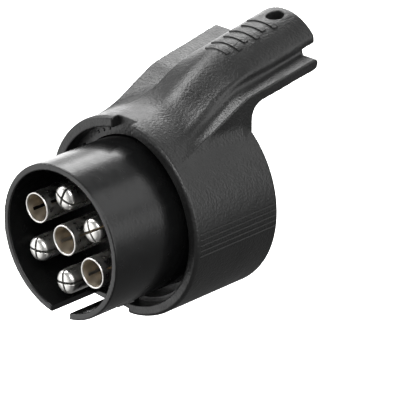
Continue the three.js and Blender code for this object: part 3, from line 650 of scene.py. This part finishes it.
def locking_slots(h, s, x, y, z):
    """Three L-shaped slots in the socket's wall."""
    third = 2 * math.pi / 3
    turn = np.mod(np.arctan2(z, x) - math.pi / 2 + third / 2, third) - third / 2
    arc = turn * h.socket_radius
    depth = np.maximum(from_axis(x, z) - h.socket_radius - s.slot_depth,
                       h.body_length - s.slot_length - y)
    entry = np.abs(arc) - s.slot_width / 2
    sideways = most(-arc - s.slot_width / 2, arc - LOCKING_TURN * h.socket_radius,
                    y - h.body_length + s.slot_length - s.turn_length)
    return np.maximum(depth, np.minimum(entry, sideways))


def housing_cavity(h, s, x, y, z):
    """Everything cut from the round body: collar, recess, barrel hole and socket."""
    r = from_axis(x, z)
    half_angle = settings("housing").ledge_angle
    off_ledge = z * math.sin(half_angle) - np.abs(x) * math.cos(half_angle)
    collar = rounded(r - h.collar_radius, y - h.step_depth, 0.1)
    recess = most(r - h.step_radius, y - h.recess_depth, off_ledge)
    socket = np.maximum(r - h.socket_radius, h.socket_depth - y)
    top_notch = most(np.abs(x) - TOP_NOTCH_HALF, y - TOP_NOTCH_DEPTH, h.barrel_hole - z)
    low_notch = most(np.abs(x) - LOW_NOTCH_HALF, y - LOW_NOTCH_DEPTH, z + h.barrel_hole)
    low_gap = most(np.abs(x) - LOW_NOTCH_HALF, y - h.recess_depth, z - LOW_GAP_TOP,
                   r - h.collar_radius)
    slots = locking_slots(h, s, x, y, z)
    return least(collar, recess, r - h.barrel_hole, socket, top_notch, low_notch, low_gap,
                 slots)


def ridge_hollow(h, x, y, z):
    """The neck's pocket and the channel behind it, open below."""
    top, _ = bent_line(WING_LINE, y)
    pocket = np.maximum(h.pocket_front - y, h.body_radius + POCKET_SKIN - z)
    channel = np.maximum(h.body_length - y, top - h.wing_thickness - CHANNEL_DROP - z)
    return smooth_max(ridge_field(h, x, y, z, h.ridge_wall), np.minimum(pocket, channel),
                      HOLLOW_ROUND)


def housing_field(h, s):
    """The whole housing as one moulding."""

    def field(x, y, z):
        r = from_axis(x, z)
        body = rounded(r - h.body_radius, between(y, 0, h.body_length), h.edge_round)
        joint = ramp(y, *NECK_JOINT)
        base = smooth_min(body, wing_field(h, x, y, z), joint)
        top, _ = bent_line(WING_LINE, y)
        low = np.minimum(np.maximum(y - h.wing_end, top - h.wing_thickness / 2 - z),
                         top + h.overhang_lift - z)
        ridge = rounded(ridge_field(h, x, y, z), y - HOUSING_HIGH.y, MOULDED_EDGE)
        ridge = smooth_max(ridge, np.maximum(low, RIDGE_ROOT - z), HANDLE_EDGE)
        solid = smooth_min(base, ridge, ramp(y, *VALLEY_SPAN, h.valley_front, h.valley_rear))
        solid = np.maximum(solid, -ridge_hollow(h, x, y, z))
        hole = from_axis(x, y, (h.ridge_offset, HOUSING_HIGH.y - h.hole_from_end))
        solid = smooth_max(solid, h.hole_radius - hole, MOULDED_EDGE)
        return smooth_max(solid, -housing_cavity(h, s, x, y, z), MOULDED_EDGE)

    return field


# ---- Plug and socket: their smaller sizes and their shapes -----------------------------------

BOSS_RADIUS = 2.1
BOSS_SETBACK = 2
SCREW_HOLE_RADIUS = 1.4
SCREW_HOLE_DEPTH = 5.3
KEYWAY_REACH = 1

ISLAND_KEY_ROOT = 1
SCALLOP_RADIUS = 2.7
SEAT_CLEARANCE = 0.3
SEAT_FLOOR = 1.2
TAIL_HOLE_RADIUS = 1.3

# The plug contacts behind the web: where their collars and shanks end, and their tails.
CONTACT_COLLAR = (1.85, 3.05)
SHANK_REAR = 2.4
TAIL_RADIUS = 1.6
TUBE_SLIT_ANGLE = math.radians(30)
TUBE_SLIT_HALF = 0.35
TUBE_SLIT = (1.6, 11.0)

SLEEVE_BORE_DEPTH = 9.5
SLEEVE_FLOOR = 2.7
SLEEVE_SEAT = 1.5
SLEEVE_TAIL_RADIUS = 1.0
SLEEVE_SLIT_HALF = 0.2
SLEEVE_SLIT_LENGTH = 6.0

SCREW_SHANK_RADIUS = 1.1
SCREW_HEAD_HEIGHT = 1.4
SCREW_RECESS_HALF = 0.3
SCREW_RECESS_REACH = 1.25
SCREW_RECESS_DEPTH = 0.8
SEAL_WIDTH = 2.6


def plug_field(p, contacts, screws):
    """The barrel with its keyway, the contact web, the screw bosses and the flange."""
    front, rear = PLUG_LOW.y, PLUG_HIGH.y
    web = front + p.web_depth
    inner = p.barrel_radius - p.barrel_wall

    def field(x, y, z):
        r = from_axis(x, z)
        barrel = rounded(r - p.barrel_radius, between(y, front, rear), p.barrel_edge)
        flange = np.maximum(r - PLUG_HIGH.x, rear - p.flange_thickness - y)
        solid = most(np.minimum(barrel, flange), y - rear)
        bore = np.maximum(r - inner, np.minimum(y - web, web + p.web_thickness - y))
        solid = smooth_max(solid, -bore, 0.4)
        for place in screws:
            boss = np.maximum(from_axis(x, z, place) - BOSS_RADIUS,
                              between(y, web + BOSS_SETBACK, rear))
            solid = np.minimum(solid, boss)
        keyway = most(np.abs(x) - p.keyway_width / 2, y - front - p.keyway_length,
                      z + inner - KEYWAY_REACH)
        solid = smooth_max(solid, -keyway, 0.3)
        for place, radius in contacts:
            solid = np.maximum(solid, radius + p.clearance - from_axis(x, z, place))
        for place in screws:
            hole = np.maximum(from_axis(x, z, place) - SCREW_HOLE_RADIUS,
                              rear - SCREW_HOLE_DEPTH - y)
            solid = np.maximum(solid, -hole)
        return solid

    return field


def carrier_field(s, sleeves, screws):
    """The carrier's disc and its contact island with key, sleeve holes and screw scallops."""
    front, face = CARRIER_LOW.y, CARRIER_HIGH.y
    disc_rear = front + s.disc_thickness

    def field(x, y, z):
        r = from_axis(x, z)
        disc = rounded(r - CARRIER_HIGH.x, between(y, front, disc_rear), 0.25)
        island = rounded(r - s.island_radius, between(y, front, face), s.island_chamfer)
        key = most(np.abs(x) - s.key_width / 2, y - face + s.island_chamfer,
                   -z - s.island_radius - s.key_height,
                   z + s.island_radius - ISLAND_KEY_ROOT, front - y)
        solid = smooth_min(np.minimum(disc, key), island, 0.4)
        for place in screws:
            scallop = np.maximum(from_axis(x, z, place) - SCALLOP_RADIUS, disc_rear - y)
            hole = from_axis(x, z, place) - SCREW_HOLE_RADIUS
            solid = smooth_max(solid, -np.minimum(scallop, hole), 0.25)
        for place in sleeves:
            r_sleeve = from_axis(x, z, place)
            seat = np.maximum(r_sleeve - s.sleeve_radius - SEAT_CLEARANCE,
                              front + SEAT_FLOOR - y)
            solid = smooth_max(solid, -np.minimum(seat, r_sleeve - TAIL_HOLE_RADIUS), 0.3)
        return solid

    return field


def contact_rear(r, y, body):
    """Adds the collar and solder tail that every plug contact has behind the web."""
    collar = rounded(r - PIN_HIGH.x + axis_of("pin_contact_top")[0],
                     between(y, *CONTACT_COLLAR), 0.15)
    tail = rounded(r - TAIL_RADIUS, between(y, SHANK_REAR, PIN_HIGH.y), 0.2)
    return least(body, collar, tail)


def pin_field(p):
    """A split pin: a round-tipped shank with crossed slots."""
    front = PIN_LOW.y

    def field(x, y, z):
        r = from_axis(x, z)
        dome = np.sqrt(r ** 2 + (y - front - p.pin_dome) ** 2) - p.pin_dome
        dome = np.where(y > front + p.pin_dome, -1.0, dome)
        shank = smooth_max(r - p.pin_radius, dome, p.pin_tip)
        slots = np.minimum(np.abs(x), np.abs(z)) - p.pin_slot / 2
        cut = np.maximum(slots, y - front - p.pin_slot_depth)
        return contact_rear(r, y, smooth_max(np.maximum(shank, y - SHANK_REAR), -cut, 0.12))

    return field


def tube_field(p):
    """A tube contact: a thin wall with a rolled rim and two slits."""
    front = TUBE_LOW.y

    def field(x, y, z):
        r = from_axis(x, z)
        rim = (p.tube_radius - p.tube_bore) / 2
        wall = rounded(between(r, p.tube_bore, p.tube_radius), front - y, rim * 0.9)
        floor = np.maximum(r - p.tube_radius, front + p.tube_depth - y)
        solid = np.maximum(np.minimum(wall, floor), y - SHANK_REAR)
        across = np.abs(z * math.cos(TUBE_SLIT_ANGLE) - x * math.sin(TUBE_SLIT_ANGLE))
        slit = np.maximum(across - TUBE_SLIT_HALF,
                          between(y, front + TUBE_SLIT[0], front + TUBE_SLIT[1]))
        return contact_rear(r, y, np.maximum(solid, -slit))

    return field


def sleeve_field(s):
    """A socket sleeve: a slit tube with a tail."""
    rear = SLEEVE_HIGH.y
    floor = max(rear - SLEEVE_BORE_DEPTH, CARRIER_LOW.y + SLEEVE_FLOOR)

    def field(x, y, z):
        r = from_axis(x, z)
        body = rounded(r - s.sleeve_radius, between(y, CARRIER_LOW.y + SLEEVE_SEAT, rear), 0.12)
        tail = np.maximum(r - SLEEVE_TAIL_RADIUS,
                          between(y, SLEEVE_LOW.y, rear - SLEEVE_BORE_DEPTH))
        bore = np.maximum(r - s.sleeve_bore, floor - y)
        slit = np.maximum(np.abs(z) - SLEEVE_SLIT_HALF, rear - SLEEVE_SLIT_LENGTH - y)
        solid = smooth_max(np.minimum(body, tail), -bore, 0.25)
        return np.maximum(solid, -slit)

    return field


def screw_field():
    """A pan-head screw with a cross recess."""
    low, high = SCREW_LOW.y, SCREW_HIGH.y
    head = (SCREW_HIGH.x - SCREW_LOW.x) / 2

    def field(x, y, z):
        r = from_axis(x, z)
        shank = rounded(r - SCREW_SHANK_RADIUS, between(y, low, high - 0.5), 0.5)
        cap = rounded(r - head, between(y, high - SCREW_HEAD_HEIGHT, high), 0.55)
        one = np.maximum(np.abs(x) - SCREW_RECESS_HALF, np.abs(z) - SCREW_RECESS_REACH)
        other = np.maximum(np.abs(z) - SCREW_RECESS_HALF, np.abs(x) - SCREW_RECESS_REACH)
        recess = np.maximum(np.minimum(one, other), high - SCREW_RECESS_DEPTH - y)
        return smooth_max(np.minimum(shank, cap), -recess, 0.12)

    return field


def seal_field():
    """The socket's face seal: a flat ring with a rounded lip."""
    outer = SEAL_HIGH.x

    def field(x, y, z):
        across = between(from_axis(x, z), outer - SEAL_WIDTH, outer)
        return rounded(across, between(y, SEAL_LOW.y, SEAL_HIGH.y), 0.5)

    return field


# ---- Raised details on the housing -----------------------------------------------------------

RIB_PITCH = math.radians(3.2)
RIB_SIDE_COUNT = 2
RIB_RADIUS = 0.2
BAR_COUNT, BAR_FIRST, BAR_PITCH = 6, 30.0, 3.0
BAR_HALF_LENGTH, BAR_HALF_WIDTH, BAR_HEIGHT = 3.6, 0.75, 0.3
BAR_LOWEST = 28
BAR_BOX = ((-5, 28, 30), (8, 47, 38))
PIP_ANGLES = (56, 62, 68, 112, 118, 124)
PIP_RADIUS, PIP_HEIGHT, PIP_ROOT = 0.42, 0.22, 0.2
PIP_BOX = ((-12.5, 3, 16), (12.5, 4, 20))


def rib_field(h):
    """Five fine ribs along the flank on the +X side of the body."""

    def field(x, y, z):
        angle = np.arctan2(z, x)
        number = np.clip(np.round(angle / RIB_PITCH), -RIB_SIDE_COUNT, RIB_SIDE_COUNT)
        nearest = number * RIB_PITCH
        across = (angle - nearest) * h.body_radius
        rise = from_axis(x, z) - h.body_radius
        line = np.sqrt(across ** 2 + (rise * 0.8) ** 2) - RIB_RADIUS
        ends = between(y, h.edge_round + 0.2, h.body_length - 0.9)
        return smooth_max(smooth_max(line, ends, 0.4), -rise - 0.15, 0.1)

    return field


def handle_marks_field(h):
    """Plain raised bars across the ridge, near its end, for grip."""
    bars = [(BAR_FIRST + BAR_PITCH * k, BAR_HALF_LENGTH + (k % 2)) for k in range(BAR_COUNT)]

    def field(x, y, z):
        skin = np.abs(ridge_field(h, x, y, z)) - BAR_HEIGHT
        across = x - h.ridge_offset
        outline = least(*[rounded(np.abs(across + 0.6) - half,
                                  np.abs(y - along) - BAR_HALF_WIDTH, 0.4)
                          for along, half in bars])
        return most(smooth_max(skin, outline, 0.1), BAR_LOWEST - z)

    return field


def ledge_marks_field(h):
    """Small raised pips on both sides of the ledge inside the collar."""
    radius = (h.barrel_hole + h.collar_radius) / 2 + 0.1
    places = [(radius * math.cos(math.radians(angle)), radius * math.sin(math.radians(angle)))
              for angle in PIP_ANGLES]

    def field(x, y, z):
        pips = least(*[from_axis(x, z, place) - PIP_RADIUS for place in places])
        height = between(y, h.step_depth - PIP_HEIGHT, h.step_depth + PIP_ROOT)
        return smooth_max(pips, height, 0.25)

    return field


# ---- Light ----------------------------------------------------------------------------------

# Where the surroundings turn from ground to sky, as the height of a ray's direction.
HORIZON = (-0.55, 0.05)

# The light panels: direction, half width and soft edge in degrees, brightness.
PANELS = (
    ((-0.72, 0.69, 0.18), 16, 5, 0.9),
    ((-0.70, 0.70, -0.12), 12, 5, 2.0),
    ((-0.60, 0.54, 0.59), 12, 5, 5.0),
    ((-0.60, -0.10, 0.79), 15, 4, 7.5),
    ((-0.30, 0.10, 0.95), 10, 4, 2.0),
    ((0.39, 0.65, 0.62), 15, 5, 1.0),
    ((0.92, 0.25, 0.30), 25, 5, 1.8),
    ((0.50, -0.50, 0.70), 17, 5, 5.5),
    ((-0.75, -0.25, 0.35), 14, 5, 3.5),
    ((-0.25, 0.85, 0.45), 16, 5, 1.0),
    ((-0.69, -0.66, -0.30), 24, 8, 1.4),
)


# ---- Operators ------------------------------------------------------------------------------


class ADAPTER_OT_studio(bpy.types.Operator):
    """Sets up the camera, the soft lights, the surroundings and the pale floor"""

    bl_idname = "adapter.studio"
    bl_label = "Studio"

    def execute(self, context):
        studio = settings("studio")
        self.camera(context.scene, studio)
        self.surroundings(context.scene, studio)
        self.floor(context.scene)
        context.scene.view_settings.view_transform = "Standard"
        return {"FINISHED"}

    def camera(self, scene, studio):
        """The camera, placed by its direction and distance from its target."""
        data = bpy.data.cameras.new("camera")
        data.lens, data.sensor_width = studio.lens, 36.0
        data.clip_start, data.clip_end = 0.01, 20.0
        camera = bpy.data.objects.new("camera", data)
        scene.collection.objects.link(camera)
        flat = math.cos(studio.elevation)
        back = Vector((math.sin(studio.azimuth) * flat, -math.cos(studio.azimuth) * flat,
                       math.sin(studio.elevation)))
        turn = (-back).to_track_quat("-Z", "Y").to_matrix().to_4x4()
        place = Vector(studio.target) + back * studio.distance
        roll = Matrix.Rotation(studio.roll, 4, "Z")
        camera.matrix_world = Matrix.Translation(place) @ turn @ roll
        scene.camera = camera

    def surroundings(self, scene, studio):
        """A dim room with soft light panels, and plain white behind the object."""
        world = bpy.data.worlds.new("surroundings")
        world.use_nodes = True
        scene.world = world
        nodes, links = world.node_tree.nodes, world.node_tree.links
        place = nodes.new("ShaderNodeTexCoord").outputs["Generated"]

        def level(towards, start, end, low, high):
            """A brightness that goes from low to high as a ray turns to a direction."""
            turned = nodes.new("ShaderNodeVectorMath")
            turned.operation = "DOT_PRODUCT"
            turned.inputs[1].default_value = Vector(towards).normalized()
            links.new(place, turned.inputs[0])
            step = nodes.new("ShaderNodeMapRange")
            step.interpolation_type = "SMOOTHSTEP"
            for name, value in (("From Min", start), ("From Max", end), ("To Min", low),
                                ("To Max", high)):
                step.inputs[name].default_value = value
            links.new(turned.outputs["Value"], step.inputs["Value"])
            return step.outputs["Result"]

        total = level((0, 0, 1), *HORIZON, studio.ground, studio.sky)
        for direction, reach, edge, brightness in PANELS:
            outer, inner = math.radians(reach + edge), math.radians(reach - edge)
            panel = level(direction, math.cos(outer), math.cos(inner), 0.0,
                          brightness * studio.panels)
            both = nodes.new("ShaderNodeMath")
            links.new(total, both.inputs[0])
            links.new(panel, both.inputs[1])
            total = both.outputs["Value"]
        lighting = nodes["Background"]
        links.new(total, lighting.inputs["Strength"])
        lighting.inputs["Color"].default_value = (1, 1, 1, 1)
        backdrop = nodes.new("ShaderNodeBackground")
        backdrop.inputs["Color"].default_value = (1, 1, 1, 1)
        seen = nodes.new("ShaderNodeLightPath")
        choice = nodes.new("ShaderNodeMixShader")
        links.new(seen.outputs["Is Camera Ray"], choice.inputs["Fac"])
        links.new(lighting.outputs["Background"], choice.inputs[1])
        links.new(backdrop.outputs["Background"], choice.inputs[2])
        links.new(choice.outputs["Shader"], nodes["World Output"].inputs["Surface"])

    def floor(self, scene):
        """A plain pale floor that lets the underside be seen from below."""
        reach, level = 3.0, CAD_BOX[0].z - 0.1
        rows = 8
        places = [(reach * (2 * i / rows - 1), reach * (2 * j / rows - 1), level)
                  for j in range(rows + 1) for i in range(rows + 1)]
        faces = [(k, k + 1, k + rows + 2, k + rows + 1)
                 for j in range(rows) for k in range(j * (rows + 1), j * (rows + 1) + rows)]
        mesh = bpy.data.meshes.new("floor")
        mesh.from_pydata(places, [], faces)
        floor = bpy.data.objects.new("floor", mesh)
        scene.collection.objects.link(floor)
        floor.visible_glossy = False
        floor.visible_diffuse = False
        finish = Finish("pale_floor")
        finish.steady(Roughness=0.9, Specular_IOR_Level=0.1, Emission_Strength=1.0)
        finish.tint(finish.speckle(120.0), (0.94, 0.94, 0.94), 0.01)
        clear = finish.node("ShaderNodeBsdfTransparent")
        side = finish.node("ShaderNodeNewGeometry")
        choice = finish.node("ShaderNodeMixShader")
        finish.link(side.outputs["Backfacing"], choice.inputs["Fac"])
        finish.link(finish.shader.outputs["BSDF"], choice.inputs[1])
        finish.link(clear.outputs["BSDF"], choice.inputs[2])
        output = finish.tree.nodes["Material Output"]
        finish.link(choice.outputs["Shader"], output.inputs["Surface"])
        mesh.materials.append(finish.material)


class ADAPTER_OT_housing(bpy.types.Operator):
    """Builds the housing: collar, round body, winged handle and hollow ridge"""

    bl_idname = "adapter.housing"
    bl_label = "Housing"

    def execute(self, context):
        h, s = Millimetres("housing"), Millimetres("socket")
        mesh = surface_mesh("housing_shell", housing_field(h, s), HOUSING_LOW, HOUSING_HIGH,
                            h.mesh_step)
        add_piece("housing_shell", mesh, "housing_plastic", ["housing"])
        return {"FINISHED"}


class ADAPTER_OT_flank_ribs(bpy.types.Operator):
    """Builds the fine grip ribs on both flanks of the body"""

    bl_idname = "adapter.flank_ribs"
    bl_label = "Flank ribs"

    def execute(self, context):
        h = Millimetres("housing")
        low = (h.body_radius - 0.6, 0.0, -4.0)
        high = (HOUSING_HIGH.x, h.body_length, 4.0)
        mesh = surface_mesh("flank_ribs", rib_field(h), low, high, step=0.1)
        add_piece("flank_ribs_right", mesh, "housing_plastic")
        half_turn = Matrix.Translation((0, h.body_length * MM, 0))
        half_turn = half_turn @ Matrix.Rotation(math.pi, 4, "Z")
        add_piece("flank_ribs_left", mesh, "housing_plastic", place=half_turn)
        return {"FINISHED"}


class ADAPTER_OT_raised_marks(bpy.types.Operator):
    """Builds the plain raised bars on the ridge and the pips on the ledge"""

    bl_idname = "adapter.raised_marks"
    bl_label = "Raised marks"

    def execute(self, context):
        h = Millimetres("housing")
        bars = surface_mesh("ridge_bars", handle_marks_field(h), *BAR_BOX, step=0.13)
        add_piece("ridge_bars", bars, "housing_plastic")
        pips = surface_mesh("ledge_pips", ledge_marks_field(h), *PIP_BOX, step=0.1)
        add_piece("ledge_pips", pips, "housing_plastic")
        return {"FINISHED"}


def screw_places():
    """The places of the carrier's screws in X and Z."""
    return [axis_of(f"carrier_screw_{k + 1}") for k in range(SCREW_COUNT)]


class ADAPTER_OT_plug_body(bpy.types.Operator):
    """Builds the barrel, its keyway, the contact web and the flange"""

    bl_idname = "adapter.plug_body"
    bl_label = "Plug body"

    def execute(self, context):
        p = Millimetres("plug")
        contacts = [(axis_of(f"pin_contact_{side}"), p.pin_radius) for side in PIN_TURNS]
        contacts += [(axis_of(f"tube_contact_{side}"), p.tube_radius)
                     for side in ("centre", "upper", "lower")]
        field = plug_field(p, contacts, screw_places())
        mesh = surface_mesh("plug_barrel", field, PLUG_LOW, PLUG_HIGH, p.mesh_step)
        add_piece("plug_barrel", mesh, "barrel_plastic", ["plug_body"])
        return {"FINISHED"}


class ADAPTER_OT_plug_contacts(bpy.types.Operator):
    """Builds the four split pins and the three tube contacts"""

    bl_idname = "adapter.plug_contacts"
    bl_label = "Plug contacts"

    def execute(self, context):
        p = Millimetres("plug")
        reach = 4.3
        low, high = (-reach, PIN_LOW.y, -reach), (reach, PIN_HIGH.y, reach)
        pin = surface_mesh("split_pin", pin_field(p), low, high, p.fine_step)
        for side, turn in PIN_TURNS.items():
            node = f"pin_contact_{side}"
            add_piece(f"split_pin_{side}", pin, "nickel", [node], along_plug(node, turn))
        tube = surface_mesh("contact_tube", tube_field(p), low, high, p.fine_step)
        self.line_bore(tube, p.tube_bore)
        for side in ("centre", "upper", "lower"):
            node = f"tube_contact_{side}"
            add_piece(f"contact_tube_{side}", tube, "nickel", [node], along_plug(node))
        return {"FINISHED"}

    def line_bore(self, mesh, bore):
        """Gives the bore's inward faces the bare brass under the plate."""
        mesh.materials.append(finish_for("nickel"))
        mesh.materials.append(finish_for("brass"))
        for face in mesh.polygons:
            centre, normal = face.center / MM, face.normal
            r = from_axis(centre.x, centre.z)
            inward = normal.x * centre.x + normal.z * centre.z < -0.6 * r
            floor = normal.y < -0.6 and centre.y > TUBE_LOW.y + 10
            if r < bore + 0.06 and centre.y > TUBE_LOW.y + 0.35 and (inward or floor):
                face.material_index = 1


class ADAPTER_OT_socket_carrier(bpy.types.Operator):
    """Builds the socket's disc and keyed contact island"""

    bl_idname = "adapter.socket_carrier"
    bl_label = "Socket carrier"

    def execute(self, context):
        s = Millimetres("socket")
        sleeves = [axis_of(f"socket_sleeve_{k + 1}") for k in range(SLEEVE_COUNT)]
        field = carrier_field(s, sleeves, screw_places())
        mesh = surface_mesh("contact_island", field, CARRIER_LOW, CARRIER_HIGH, s.mesh_step)
        add_piece("contact_island", mesh, "insert_plastic", ["socket_carrier"])
        return {"FINISHED"}


class ADAPTER_OT_socket_sleeves(bpy.types.Operator):
    """Builds the thirteen slit sleeves of the socket"""

    bl_idname = "adapter.socket_sleeves"
    bl_label = "Socket sleeves"

    def execute(self, context):
        s = Millimetres("socket")
        low, high = (-1.8, SLEEVE_LOW.y, -1.8), (1.8, SLEEVE_HIGH.y, 1.8)
        mesh = surface_mesh("sleeve", sleeve_field(s), low, high, step=0.12)
        for k in range(1, SLEEVE_COUNT + 1):
            node = f"socket_sleeve_{k}"
            x, z = axis_of(node)
            outward = math.degrees(math.atan2(z, x))
            add_piece(f"sleeve_{k}", mesh, "brass", [node], along_plug(node, outward))
        return {"FINISHED"}


class ADAPTER_OT_carrier_screws(bpy.types.Operator):
    """Builds the three screws that hold the socket's carrier"""

    bl_idname = "adapter.carrier_screws"
    bl_label = "Carrier screws"

    def execute(self, context):
        low, high = (-2.2, SCREW_LOW.y, -2.2), (2.2, SCREW_HIGH.y, 2.2)
        mesh = surface_mesh("pan_screw", screw_field(), low, high, step=0.12)
        for k in range(SCREW_COUNT):
            node = f"carrier_screw_{k + 1}"
            place = along_plug(node, 25.0 + 40 * k)
            add_piece(f"pan_screw_{k + 1}", mesh, "steel", [node], place)
        return {"FINISHED"}


class ADAPTER_OT_seals(bpy.types.Operator):
    """Builds the socket's face seal and finishes the barrel's sealing ring"""

    bl_idname = "adapter.seals"
    bl_label = "Seals"

    def execute(self, context):
        mesh = surface_mesh("face_seal", seal_field(), SEAL_LOW, SEAL_HIGH, step=0.3)
        add_piece("face_seal", mesh, "rubber", ["socket_seal"])
        refinish("barrel_seal", "rubber")
        return {"FINISHED"}


class ADAPTER_OT_inner_parts(bpy.types.Operator):
    """Finishes the parts inside: the contact retainer and the link wires"""

    bl_idname = "adapter.inner_parts"
    bl_label = "Inner parts"

    def execute(self, context):
        refinish("contact_retainer", "insert_plastic")
        for node in sorted(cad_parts):
            if node.startswith("link_"):
                refinish(node, "copper")
        return {"FINISHED"}


OPERATORS = (
    ADAPTER_OT_studio,
    ADAPTER_OT_housing,
    ADAPTER_OT_flank_ribs,
    ADAPTER_OT_raised_marks,
    ADAPTER_OT_plug_body,
    ADAPTER_OT_plug_contacts,
    ADAPTER_OT_socket_carrier,
    ADAPTER_OT_socket_sleeves,
    ADAPTER_OT_carrier_screws,
    ADAPTER_OT_seals,
    ADAPTER_OT_inner_parts,
)


class ADAPTER_PT_build(bpy.types.Panel):
    """Lists the adapter's pieces and their sizes"""

    bl_idname = "ADAPTER_PT_build"
    bl_label = "Trailer wiring adapter"
    bl_space_type = "VIEW_3D"
    bl_region_type = "UI"
    bl_category = "Adapter"

    def draw(self, context):
        layout = self.layout
        for operator in OPERATORS:
            layout.operator(operator.bl_idname)
        for group in GROUPS:
            box = layout.box()
            box.label(text=group.capitalize())
            values = settings(group)
            for name in GROUPS[group].__annotations__:
                box.prop(values, name)


CLASSES = (*GROUPS.values(), *OPERATORS, ADAPTER_PT_build)


def register():
    for one in CLASSES:
        bpy.utils.register_class(one)
    for name, group in GROUPS.items():
        setattr(bpy.types.Scene, "adapter_" + name, bpy.props.PointerProperty(type=group))


def unregister():
    for name in GROUPS:
        delattr(bpy.types.Scene, "adapter_" + name)
    for one in reversed(CLASSES):
        bpy.utils.unregister_class(one)


def main():
    register()
    for operator in OPERATORS:
        getattr(bpy.ops.adapter, operator.bl_idname.split(".")[1])()


if __name__ == "__main__":
    main()
